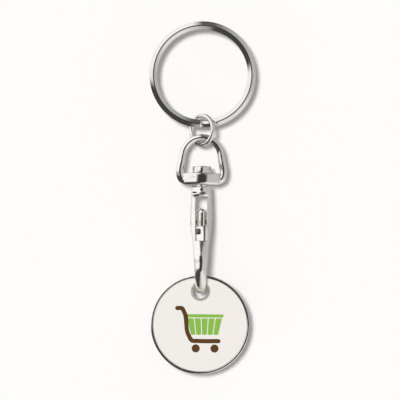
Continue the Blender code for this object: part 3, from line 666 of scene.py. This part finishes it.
half_slot = SLOT_WIDTH / 2
web_front = np.array((-WEB_BACK - WEB_THICKNESS, window_bottom))
web_up = np.array((math.sin(WEB_LEAN), math.cos(WEB_LEAN)))
web_out = np.array((-math.cos(WEB_LEAN), math.sin(WEB_LEAN)))
web_top = web_front + web_up * SPRING_POCKET_DEPTH
web_foot = web_front - web_up * (window_bottom - slot_end) / math.cos(WEB_LEAN)
recess_x = np.linspace(-half_slot, half_slot, WEB_POINTS)
web_bow = -WEB_CAMBER * np.hypot(recess_x - WEB_CREST, WEB_CREST_ROUND)[:, None] * web_out
web_rows = np.stack([
    web_top + web_bow,
    web_foot + web_bow,
    np.broadcast_to(web_foot + web_out * front_reach, web_bow.shape),
    np.broadcast_to(web_top + web_out * front_reach, web_bow.shape),
], 1)
web_rows = np.insert(web_rows, 0, recess_x[:, None], axis=2)
window = oblong((-half_slot, window_bottom), (half_slot, window_top), COLLAR_EDGE)
gate_slot = oblong((-half_slot, -WEB_BACK), (half_slot, FORK_PIN_WIDTH), COLLAR_EDGE)
hole_left = COLLAR_EDGE - half_slot
hole_low = spring_z - WEB_HOLE_HEIGHT / 2
hole_high = spring_z + WEB_HOLE_HEIGHT / 2
web_hole = oblong((hole_left, hole_low), (hole_left + WEB_HOLE_WIDTH, hole_high), COLLAR_EDGE)
seat_reach = math.hypot(tongue_y - LAP_GAP - pin_y, nose_drop) + LAP_GAP
gate_low_y = pin_y + LEVER_GATE_THICKNESS / 2
lap_back = back_reach + OVERRUN
lap_top = claw_centre + CLAW_RISE
lap_seat = np.vstack([
    [(lap_back, lap_top)],
    about_pin(tongue_reach, lap_back, tongue_y),
    about_pin(seat_reach, tongue_y, gate_low_y),
    [(gate_low_y, lap_top)],
])
wide = FORK_PIN_WIDTH
clasp_body = worked(
    skin("clasp_casting", np.concatenate([collar_sections(), fork_sections(), claw_sections()])),
    removed=[
        prism("window", window, 1, -wide, wide),
        prism("gate_slot", gate_slot, 2, arch_top, window_bottom + COLLAR_EDGE),
        skin("web_recess", web_rows),
        prism("web_hole", web_hole, 1, -wide, 0),
        rod("pin_bore", pin_diameter + 2 * PIN_SEAT_GAP, 0, -wide, wide, (pin_y, pin_z)),
        rod("rivet_seat", STUD_SHANK, 2, stud_low[2] - PIN_SEAT_GAP, collar_top + OVERRUN, 0),
        prism("lap_seat", lap_seat, 0, -wide, wide),
    ],
    grain=CLASP_GRAIN,
    passes=CLASP_PASSES,
)
to_metres(clasp_body)
plate(clasp_body, "clasp_plating", NICKEL, haze=0.06, wave=0.11, wave_size=550.0, hairline=0.03)
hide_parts("clasp_body")
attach(clasp_body, "clasp")

# Pivot pin: plain steel wire, cut to the fork's width and pressed across it, with its two
# rounded ends a hair proud.
PIN_PROUD = 0.06
PIN_STEEL = (0.55, 0.55, 0.56)
pin_half = FORK_PIN_WIDTH / 2 + PIN_PROUD
pin_profile = softened(
    [(0, pin_half), (pin_diameter / 2, pin_half), (pin_diameter / 2, -pin_half), (0, -pin_half)],
    LAP_GAP,
)
CROSSWISE = Matrix.Rotation(math.pi / 2, 4, "Y")
pivot_pin = put(turned("cross_pin", pin_profile), CROSSWISE, (0, pin_y, pin_z))
to_metres(pivot_pin)
plate(pivot_pin, "pin_steel", PIN_STEEL, haze=0.2, wave=0.02, wave_size=900.0, hairline=0.2)
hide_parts("pivot_pin")
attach(pivot_pin, "clasp")

# Gate spring: hard steel wire wound between the clasp's web and the pocket in the gate, which it pushes
# shut.
SPRING_WIRE = 0.3
SPRING_DIAMETER = 1.42
SPRING_TURNS = 2.75
SPRING_STATIONS = 240
SPRING_SIDES = 16
SPRING_STEEL = (0.24, 0.24, 0.25)
spring_low, spring_high = place_of("gate_spring")


def spring_sections():
    """Round wire on a helix about Y: y rises evenly while the angle turns."""
    radius = (SPRING_DIAMETER - SPRING_WIRE) / 2
    share = np.linspace(0, 1, SPRING_STATIONS)
    angle = share * SPRING_TURNS * 2 * math.pi
    start, end = spring_low[1] + SPRING_WIRE / 2, spring_high[1] - SPRING_WIRE / 2
    out = np.column_stack([np.cos(angle), 0 * angle, np.sin(angle)])
    along = start + (end - start) * share
    path = out * radius + np.column_stack([0 * share, along, 0 * share + spring_z])
    lift = unit(np.cross(np.gradient(path, axis=0), out))
    return swept(path, out, lift, SPRING_WIRE / 2, SPRING_WIRE / 2, ROUND_POWER, SPRING_SIDES)


gate_spring = to_metres(skin("spring_coils", spring_sections()))
plate(gate_spring, "spring_steel", SPRING_STEEL, haze=0.25, wave=0.02, wave_size=900.0, hairline=0.2)
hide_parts("gate_spring")
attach(gate_spring, "clasp")
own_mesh(gate_spring)

# Gate lever: one zinc casting, nickel plated, with a heel that stands up in the window over its
# hub. It turns on the cross pin; the thumb tab stands out behind, and the gate closes the claw
# with a stepped nose that laps the claw's tip.
LEVER_WIDTH = 2.25
LEVER_HUB_THICKNESS = 2.5
LEVER_TAB_THICKNESS = 1.5
LEVER_TAB_REACH = 5.5
LEVER_TAB_RISE = 2.75
LEVER_POWER = 2.4
LEVER_TAB_SHARES = ((1.0, 1.0), (0.62, 0.8), (0.28, 0.47))
LEVER_GATE_SHARES = ((0.0, 0.0), (0.14, 0.18), (0.52, 0.4), (0.83, 0.62), (0.97, 0.8), (1.0, 1.0))
LEVER_TIP_WIDTH_SHARE = 0.35
LEVER_TIP_DEPTH_SHARE = 0.45
HEEL_WIDTH = 2.1
HEEL_RISE = 3.25
HEEL_DROP = 1.6
HEEL_FOOT = 0.6
HEEL_FRONT = 1.7
HEEL_BACK = 0.5
HEEL_TURN = math.radians(7)
HEEL_POWER = 3.4
HEEL_LEAST_SHARE = 0.01
PIN_RUNNING_GAP = 0.05
SPRING_POCKET = 1.8
LEVER_STATIONS = 160
TAB_END_STATIONS = 24
HEEL_ROWS = 25
LEVER_SIDES = 64
LEVER_GRAIN = 0.06


def lever_sections():
    """Rounded sections across a curve from the tab over the pin to the nose, its tab end round;
    each point of the curve is the mean of three along it, so the bend stays wider than the bar."""
    gate_y = back_reach - LAP_GAP - LEVER_GATE_THICKNESS / 2 - pin_y
    tab = np.array(LEVER_TAB_SHARES) * (LEVER_TAB_REACH, LEVER_TAB_RISE)
    gate = np.array(LEVER_GATE_SHARES) * (gate_y, -nose_drop)
    runs = np.vstack([tab, gate]) + (pin_y, pin_z)
    station = distance_along(runs)
    tab_end = np.linspace(0, LEVER_WIDTH / 2, TAB_END_STATIONS)[1:-1]
    s = np.sort(np.append(np.linspace(0, station[-1], LEVER_STATIONS), tab_end))
    thick = [LEVER_TAB_THICKNESS] * 2 + [(LEVER_HUB_THICKNESS + LEVER_TAB_THICKNESS) / 2]
    thick += [LEVER_HUB_THICKNESS] + [LEVER_GATE_THICKNESS] * (len(gate) - 1)
    spread = np.minimum(LEVER_HUB_THICKNESS / 3, np.minimum(s, station[-1] - s))
    path = sum(
        np.column_stack([0 * s, smooth(near, station, runs[:, 0]), smooth(near, station, runs[:, 1])])
        for near in (s - spread, s, s + spread)
    ) / 3
    lift = unit(np.cross(np.gradient(path, s, axis=0), (1, 0, 0)))
    left = np.minimum(2 * s / LEVER_WIDTH, 1)
    round_end = np.sqrt(1 - (1 - left) ** 2)
    half_width = LEVER_WIDTH / 2 * np.maximum(round_end, LEVER_TIP_WIDTH_SHARE)
    half_depth = smooth(s, station, thick) / 2 * np.maximum(np.sqrt(round_end), LEVER_TIP_DEPTH_SHARE)
    return swept(path, (1, 0, 0), lift, half_width, half_depth, LEVER_POWER, LEVER_SIDES)


def heel_sections():
    """Level rounded oblongs of the heel, which stands up over the hub, turned a little: its top
    is a half circle, and its foot draws in to the hub by a quarter turn."""
    turn = np.linspace(0, math.pi / 2, HEEL_ROWS)
    radius = HEEL_WIDTH / 2
    short = 1 - np.sin(turn)
    rise = np.sort(np.append(HEEL_RISE - radius * short, HEEL_FOOT * short - HEEL_DROP))[::-1]
    top = np.clip((HEEL_RISE - rise) / radius, HEEL_LEAST_SHARE, 1)
    foot = np.clip((rise + HEEL_DROP) / HEEL_FOOT, HEEL_LEAST_SHARE, 1)
    half_width = radius * np.sqrt(1 - (1 - top) ** 2)
    drawn_in = np.sqrt(half_width / radius) * np.sqrt(1 - (1 - foot) ** 2)
    half_depth = (HEEL_FRONT + HEEL_BACK) / 2 * drawn_in
    middle_y = pin_y + (HEEL_BACK - HEEL_FRONT) / 2
    path = np.column_stack([0 * rise, 0 * rise + middle_y, pin_z + rise])
    side = (math.cos(HEEL_TURN), -math.sin(HEEL_TURN), 0)
    lift = (math.sin(HEEL_TURN), math.cos(HEEL_TURN), 0)
    return swept(path, side, lift, half_width, half_depth, HEEL_POWER, LEVER_SIDES)


nose_face = tongue_y - LAP_GAP
nose_low = pin_z - 2 * nose_drop
lap_step = np.vstack([
    about_pin(tongue_reach - LAP_GAP, nose_face, lap_back),
    [(lap_back, nose_low), (nose_face, nose_low)],
])
pocket_end = spring_high[1] + PIN_SEAT_GAP
gate_lever = worked(
    skin("lever_casting", lever_sections()),
    added=[skin("heel", heel_sections())],
    removed=[
        rod("lever_bore", pin_diameter + 2 * PIN_RUNNING_GAP, 0, -wide, wide, (pin_y, pin_z)),
        prism("lap_step", lap_step, 0, -wide, wide),
        rod("spring_pocket", SPRING_POCKET, 1, pocket_end - wide, pocket_end, (0, spring_z)),
    ],
    grain=LEVER_GRAIN,
)
to_metres(gate_lever)
plate(gate_lever, "lever_plating", NICKEL, haze=0.06, wave=0.11, wave_size=550.0, hairline=0.03)
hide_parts("gate_lever")
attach(gate_lever, "gate")

# Token: a struck metal disc of coin size, nickel plated. A narrow rim stands round each face,
# and a boss round the hole that the claw goes through. The boss and the back are satin.
TOKEN_RIM_WIDTH = 0.62
TOKEN_RIM_EDGE = 0.18
TOKEN_FIELD_EDGE = 0.025
TOKEN_RECESS = 0.28
TOKEN_BOSS = 4.5
TOKEN_BOSS_RECESS = 0.05
TOKEN_HOLE = 3.4
TOKEN_HOLE_MARGIN = 0.88
TOKEN_HOLE_EDGE = 0.2
TOKEN_STEPS = 256
FLAT_WITHIN = math.radians(0.5)
token_low, token_high = place_of("token_disc")
token_centre = (token_low + token_high) / 2
token_radius = (token_high[0] - token_low[0]) / 2
token_half = (token_high[1] - token_low[1]) / 2
hole_offset = token_radius - TOKEN_RIM_WIDTH - TOKEN_HOLE_MARGIN - TOKEN_BOSS / 2
FACE_FRONT = Matrix.Rotation(math.pi / 2, 4, "X")
hole_place = token_centre + (0, 0, hole_offset)
inner_rim = token_radius - TOKEN_RIM_WIDTH
field = token_half - TOKEN_RECESS


def mirrored(half_profile):
    """A profile from the axis out, and the same again below, back to the axis."""
    half_profile = np.asarray(half_profile, float)
    return np.vstack([half_profile, half_profile[::-1] * (1, -1)])


token_profile = softened(
    mirrored([(0, field), (inner_rim, field), (inner_rim, token_half), (token_radius, token_half)]),
    [TOKEN_FIELD_EDGE] + [TOKEN_RIM_EDGE] * 4 + [TOKEN_FIELD_EDGE],
)
boss_face = token_half - TOKEN_BOSS_RECESS
boss_profile = softened(mirrored([(0, boss_face), (TOKEN_BOSS / 2, boss_face)]), TOKEN_BOSS_RECESS)
hole_profile = softened(
    mirrored([
        (0, token_half + OVERRUN),
        (TOKEN_HOLE / 2 + TOKEN_HOLE_EDGE + OVERRUN, token_half + OVERRUN),
        (TOKEN_HOLE / 2 + TOKEN_HOLE_EDGE, token_half),
        (TOKEN_HOLE / 2, token_half - TOKEN_HOLE_EDGE),
    ]),
    TOKEN_HOLE_EDGE / 3,
)
token_disc = worked(
    put(turned("token_blank", token_profile, TOKEN_STEPS), FACE_FRONT, token_centre),
    added=[put(turned("boss", boss_profile), FACE_FRONT, hole_place)],
    removed=[put(turned("hole", hole_profile), FACE_FRONT, hole_place)],
)
# The slivers that the cuts leave in the flat faces are cleared
shape = bmesh.new()
shape.from_mesh(token_disc.data)
bmesh.ops.dissolve_degenerate(shape, edges=shape.edges, dist=WELD)
bmesh.ops.dissolve_limit(shape, verts=shape.verts, edges=shape.edges, angle_limit=FLAT_WITHIN)
shape.to_mesh(token_disc.data)
shape.free()
to_metres(token_disc)
plate(token_disc, "token_plating", NICKEL, haze=0.09, wave=0.03, wave_size=600.0, hairline=0.08)
plate(token_disc, "boss_satin", NICKEL, haze=0.5, wave=0.0, wave_size=600.0, hairline=0.4)
plate(token_disc, "back_satin", NICKEL, haze=0.42, wave=0.0, wave_size=600.0, hairline=0.6, cloud=0.97)
# The boss takes the second finish and the back's field the third
face_places = np.zeros(3 * len(token_disc.data.polygons))
token_disc.data.polygons.foreach_get("center", face_places)
face_places = face_places.reshape(-1, 3) / MM
from_hole = face_places - hole_place
from_middle = face_places - token_centre
on_boss = np.hypot(from_hole[:, 0], from_hole[:, 2]) < TOKEN_BOSS / 2
on_back = from_middle[:, 1] > field - TOKEN_FIELD_EDGE
on_back &= np.hypot(from_middle[:, 0], from_middle[:, 2]) < inner_rim
finish_index = np.where(on_boss, 1, np.where(on_back, 2, 0)).astype(np.int32)
token_disc.data.polygons.foreach_set("material_index", finish_index)
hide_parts("token_disc")
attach(token_disc, "token")

# Face: white lacquer poured into the token's front recess, round the boss, glossy and cured
# with a faint ripple.
LACQUER = (0.908, 0.879, 0.849)
LACQUER_GAP = 0.02
LACQUER_EDGE = 0.05
HAZE_SPREAD = 0.08
SPECK_DETAIL = 3.0
RIPPLE_SCALE = 700.0
RIPPLE_DEPTH = 0.0002
inlay_low, inlay_high = place_of("face_inlay")


def inlay_sections():
    """Straight lines from the circle round the boss to the one inside the rim, carried round;
    the section is a flat oblong whose corners keep one rounding at any length of the line."""
    around = np.insert(circle(TOKEN_STEPS), 1, 0, axis=1)
    inside = token_centre * (1, 0, 1) + around * (TOKEN_BOSS / 2 + LACQUER_GAP) + (0, 0, hole_offset)
    outside = token_centre * (1, 0, 1) + around * (inner_rim - LACQUER_GAP)
    across = unit(outside - inside)
    side, level = oblong((-1, inlay_low[1]), (1, inlay_high[1]), LACQUER_EDGE).T[:, None, :, None]
    near = inside[:, None] + across[:, None] * (1 + side)
    far = outside[:, None] - across[:, None] * (1 - side)
    return np.where(side < 0, near, far) + level * np.array((0, 1, 0))


def coated_finish():
    """Node group of lacquer or ink: a colour with faint specks, which are hazier where they are
    lighter, under a glossy skin with a slow ripple."""
    group = finish_group("coated_finish", ("Dark", "Light"), ("Haze", "Speck Scale", "Ripple"))
    nodes = group.nodes
    given = nodes.new("NodeGroupInput").outputs
    place = nodes.new("ShaderNodeTexCoord").outputs["Object"]
    speck = noise(nodes, place, given["Speck Scale"], SPECK_DETAIL)
    slow = wired(nodes.new("ShaderNodeBump"), {
        "Height": noise(nodes, place, RIPPLE_SCALE, WAVE_DETAIL),
        "Strength": given["Ripple"],
        "Distance": RIPPLE_DEPTH,
    })
    wired(nodes.new("NodeGroupOutput"), {
        "Color": mixed(nodes, speck, given["Dark"], given["Light"]),
        "Roughness": figured(nodes, "MULTIPLY_ADD", speck, HAZE_SPREAD, given["Haze"]),
        "Normal": slow.outputs["Normal"],
    })
    return group


COATED = coated_finish()


def coat(piece, name, colour, speck, speck_scale, ripple, haze):
    """Give a piece lacquer or ink in the coated finish."""
    dress(piece, name, COATED, 0.0, {
        "Dark": (*(np.array(colour) * (1 - speck)), 1),
        "Light": (*np.minimum(np.array(colour) * (1 + speck), 1), 1),
        "Haze": haze,
        "Speck Scale": speck_scale,
        "Ripple": ripple,
    })


face_inlay = to_metres(skin("face_lacquer", inlay_sections(), ring=True))
coat(face_inlay, "white_lacquer", LACQUER, speck=0.012, speck_scale=900.0, ripple=0.02, haze=0.3)
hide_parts("face_inlay")
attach(face_inlay, "token")

# Print: two inks laid on the lacquer, a green basket of upright slats on a brown trolley
# frame with two wheels. It is a plain sign for what such a token is used in.
GREEN_INK = (0.258, 0.515, 0.074)
BROWN_INK = (0.098, 0.040, 0.007)
INK_THICKNESS = 0.012
PRINT_CENTRE = (0.2, -1.05)
SLATS = 5
SLAT_GAP = 0.2
BASKET_TOP = 3.5
BASKET_RAIL = 0.75
BASKET_LEFT = (-3.45, -2.35)
BASKET_RIGHT = (5.3, 4.2)
BASKET_BOTTOM = -1.3
FRAME_RUN = (
    (-5.6, 4.9), (-4.5, 4.85), (-4.0, 4.0), (-2.9, -1.4), (-2.1, -2.65), (-0.8, -2.75), (4.1, -2.75),
)
FRAME_WIDTH = 1.0
FRAME_STATIONS = 160
FRAME_END_POINTS = 13
WHEEL_PLACES = (-1.2, 3.2)
WHEEL_DROP = -4.5
WHEEL_RADIUS = 0.95
WHEEL_POINTS = 64
ink_back = inlay_low[1] + INK_THICKNESS
ink_front = inlay_low[1] - INK_THICKNESS


def inked(name, outlines, colour):
    """Thin plates, in one ink, over outlines given across and up from the print's centre."""
    origin = token_centre[[0, 2]] + PRINT_CENTRE
    plates = [prism(name, np.asarray(outline) + origin, 1, ink_front, ink_back) for outline in outlines]
    shape = bmesh.new()
    for plate in plates:
        shape.from_mesh(plate.data)
        bpy.data.objects.remove(plate, do_unlink=True)
    mesh = bpy.data.meshes.new(name)
    shape.to_mesh(mesh)
    shape.free()
    ink = to_metres(scene_object(name, mesh))
    coat(ink, name, colour, speck=0.1, speck_scale=4000.0, ripple=0.02, haze=0.38)
    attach(ink, "token")


def slat_outlines():
    """Upright slats side by side between the basket's slanted ends, under one rail."""
    def edge(share, height):
        """The point at a height that lies a share of the way from the left end to the right."""
        down = (BASKET_TOP - height) / (BASKET_TOP - BASKET_BOTTOM)
        left = BASKET_LEFT[0] + (BASKET_LEFT[1] - BASKET_LEFT[0]) * down
        right = BASKET_RIGHT[0] + (BASKET_RIGHT[1] - BASKET_RIGHT[0]) * down
        return left + (right - left) * share, height

    low, high = BASKET_BOTTOM, BASKET_TOP - BASKET_RAIL - SLAT_GAP
    rail_low = high + SLAT_GAP
    rail = [edge(0, rail_low), edge(1, rail_low), edge(1, BASKET_TOP), edge(0, BASKET_TOP)]
    outlines = [softened(rail, SLAT_GAP, closed=True)]
    for index in range(SLATS):
        left, right = index / SLATS, (index + 1) / SLATS
        corners = np.array([edge(left, low), edge(right, low), edge(right, high), edge(left, high)])
        corners[1:3, 0] -= SLAT_GAP
        outlines.append(softened(corners, SLAT_GAP, closed=True))
    return outlines


def frame_outline():
    """A stroke of one width along a smooth run, with round ends."""
    run = np.array(FRAME_RUN)
    station = distance_along(run)
    s = np.linspace(0, station[-1], FRAME_STATIONS)
    path = np.column_stack([smooth(s, station, run[:, 0]), smooth(s, station, run[:, 1])])
    heading = unit(np.gradient(path, s, axis=0))
    beside = np.column_stack([-heading[:, 1], heading[:, 0]])
    turn = np.linspace(0, math.pi, FRAME_END_POINTS)[1:-1, None]
    half = FRAME_WIDTH / 2
    end = path[-1] + half * (np.cos(turn) * beside[-1] + np.sin(turn) * heading[-1])
    start = path[0] - half * (np.cos(turn) * beside[0] + np.sin(turn) * heading[0])
    return np.vstack([path + half * beside, end, (path - half * beside)[::-1], start])


wheels = [circle(WHEEL_POINTS) * WHEEL_RADIUS + (place, WHEEL_DROP) for place in WHEEL_PLACES]
inked("print_basket", slat_outlines(), GREEN_INK)
inked("print_trolley", [frame_outline(), *wheels], BROWN_INK)

# Studio: a white table-top close behind the keyring, a plain soft key lamp from the front, and
# round it what the polished metal mirrors: white paper to the left, a grey wall to the right
# and dark cards between them.
PAPER = (1.0, 1.0, 1.0)
GAP_BEHIND = 0.4
SHEET_SIZE = 600.0
KEYRING = (
    split_ring, jump_ring, swivel_bail, swivel_stud, clasp_body, pivot_pin, gate_spring, gate_lever,
    token_disc, face_inlay,
)
sheet = bpy.data.meshes.new("table_top")
sheet_corners = np.array([(-1, 0, -1), (1, 0, -1), (1, 0, 1), (-1, 0, 1)]) * (SHEET_SIZE / 2)
sheet_corners = (sheet_corners + (0, GAP_BEHIND, 0)) * MM
sheet.from_pydata(sheet_corners.tolist(), [], [(0, 1, 2, 3)])
table_top = scene_object("table_top", sheet)
# The paper is one-sided, so that the keyring also shows from behind
paper = bpy.data.materials.new("white_paper")
paper.use_nodes = True
nodes = paper.node_tree.nodes
nodes.remove(nodes["Principled BSDF"])
matt = wired(nodes.new("ShaderNodeBsdfDiffuse"), {"Color": (*PAPER, 1)})
clear = nodes.new("ShaderNodeBsdfTransparent")
one_sided = wired(nodes.new("ShaderNodeMixShader"), {
    "Fac": nodes.new("ShaderNodeNewGeometry").outputs["Backfacing"],
    1: matt.outputs["BSDF"],
    2: clear.outputs["BSDF"],
})
wired(nodes["Material Output"], {"Surface": one_sided.outputs["Shader"]})
sheet.materials.append(paper)
table_top.visible_glossy = False

# The table-top moves back to the farthest point of the pieces, so that it lies just behind the
# keyring however its joints are swung
lie_behind = bpy.data.node_groups.new("lie_behind", "GeometryNodeTree")
for way in ("INPUT", "OUTPUT"):
    lie_behind.interface.new_socket("Geometry", in_out=way, socket_type="NodeSocketGeometry")
nodes = lie_behind.nodes
together = nodes.new("GeometryNodeJoinGeometry")
for piece in KEYRING:
    seen = wired(nodes.new("GeometryNodeObjectInfo"), {"Object": piece})
    seen.transform_space = "RELATIVE"
    wired(together, {"Geometry": seen.outputs["Geometry"]})
box = wired(nodes.new("GeometryNodeBoundBox"), {"Geometry": together.outputs["Geometry"]})
farthest = wired(nodes.new("ShaderNodeSeparateXYZ"), {"Vector": box.outputs["Max"]})
back = wired(nodes.new("ShaderNodeCombineXYZ"), {"Y": farthest.outputs["Y"]})
moved = wired(nodes.new("GeometryNodeTransform"), {
    "Geometry": nodes.new("NodeGroupInput").outputs["Geometry"],
    "Translation": back.outputs["Vector"],
})
wired(nodes.new("NodeGroupOutput"), {"Geometry": moved.outputs["Geometry"]})
table_top.modifiers.new("lie_behind", "NODES").node_group = lie_behind

KEY_STRENGTH = 2.08
KEY_SPREAD = math.radians(9)
KEY_HEADING = (0.125, 1.0, -0.105)
key = bpy.data.lights.new("key", "SUN")
key.energy = KEY_STRENGTH
key.angle = KEY_SPREAD
key_lamp = scene_object("key", key)
key_lamp.rotation_euler = Vector(KEY_HEADING).to_track_quat("-Z", "Y").to_euler()
key_lamp.visible_glossy = False

BACKGROUND = (1.0, 0.985, 0.975)
FILL = (0.345, 0.33, 0.31)
# What metal mirrors: brightness against the angle round the Y axis, in degrees from +X towards
# +Z, and the level that the whole of it is raised to
SURROUND = (
    (-180, 1.0), (-178, 0.9), (-168, 0.06), (-104, 0.06), (-96, 0.4), (-65, 0.85), (-35, 0.82),
    (-15, 0.6), (0, 0.52), (40, 0.47), (64, 0.42), (78, 0.12), (91, 0.1), (101, 1.0), (180, 1.0),
)
SURROUND_LEVEL = 1.15
# Round the Y axis the surround gives way to a card, eased over this much of a unit heading: a
# dark one in front of the keyring and a lighter one behind it
SPOT = (0.16, 0.32)
SPOT_BEFORE = 0.05
SPOT_LIGHTER_BEHIND = 0.6
# From beside the keyring to straight behind it, by the heading's Y, the surround dims
BEHIND = (-0.1, 1.0)
BEHIND_SHARE = 0.72
world = bpy.data.worlds.new("studio")
bpy.context.scene.world = world
world.use_nodes = True
nodes = world.node_tree.nodes
heading = nodes.new("ShaderNodeSeparateXYZ")
wired(heading, {"Vector": nodes.new("ShaderNodeTexCoord").outputs["Generated"]})
heading_x, heading_y, heading_z = (heading.outputs[axis] for axis in "XYZ")


def eased(nodes, value, reach, low, high):
    """A level that eases from low to high while a value runs through its reach."""
    step = nodes.new("ShaderNodeMapRange")
    step.interpolation_type = "SMOOTHSTEP"
    wired(step, {"Value": value, "From Min": reach[0], "From Max": reach[1]})
    return wired(step, {"To Min": low, "To Max": high}).outputs["Result"]


# The ramp runs through one whole turn, from -180 to 180 degrees
angle = figured(nodes, "ARCTAN2", heading_z, heading_x)
ramp = nodes.new("ShaderNodeValToRGB")
wired(ramp, {"Fac": figured(nodes, "MULTIPLY_ADD", angle, 1 / (2 * math.pi), 0.5)})
stops = ramp.color_ramp.elements
stops.remove(stops[-1])
for degrees, level in SURROUND:
    stops.new((degrees + 180) / 360).color = (level, level, level, 1)
stops.remove(stops[0])
behind = eased(nodes, heading_y, BEHIND, SURROUND_LEVEL, SURROUND_LEVEL * BEHIND_SHARE)
around_spot = figured(nodes, "MULTIPLY", ramp.outputs["Color"], behind)
is_behind = figured(nodes, "GREATER_THAN", heading_y, 0.0)
core = figured(nodes, "MULTIPLY_ADD", is_behind, SPOT_LIGHTER_BEHIND, SPOT_BEFORE)
x_squared = figured(nodes, "POWER", heading_x, 2.0)
z_squared = figured(nodes, "POWER", heading_z, 2.0)
off_axis = figured(nodes, "SQRT", figured(nodes, "ADD", x_squared, z_squared))
beyond_core = figured(nodes, "SUBTRACT", around_spot, core)
clear_of_core = eased(nodes, off_axis, SPOT, 0.0, 1.0)
mirrored_level = figured(nodes, "MULTIPLY_ADD", beyond_core, clear_of_core, core)
rays = nodes.new("ShaderNodeLightPath").outputs
lit = mixed(nodes, rays["Is Glossy Ray"], (*FILL, 1), mirrored_level)
shown = mixed(nodes, rays["Is Camera Ray"], lit, (*BACKGROUND, 1))
wired(nodes["Background"], {"Color": shown, "Strength": 1.0})

# Camera: a long lens straight on, a hair turned, as the keyring lies in the photograph. The
# picture is 400 pixels wide, and a pixel spans PHOTO_PIXEL of the keyring.
PHOTO_WIDTH = 400
PHOTO_PIXEL = 0.2345
VIEW_DISTANCE = 1200.0
VIEW_ACROSS = -0.34
VIEW_HEIGHT = -40.0
VIEW_ROLL = math.radians(-0.57)
lens = bpy.data.cameras.new("camera")
lens.lens = lens.sensor_width * VIEW_DISTANCE / (PHOTO_WIDTH * PHOTO_PIXEL)
camera = scene_object("camera", lens)
camera.location = (VIEW_ACROSS * MM, -VIEW_DISTANCE * MM, VIEW_HEIGHT * MM)
camera.rotation_euler = (math.pi / 2, VIEW_ROLL, 0)
bpy.context.scene.camera = camera
bpy.context.scene.view_settings.view_transform = "Standard"
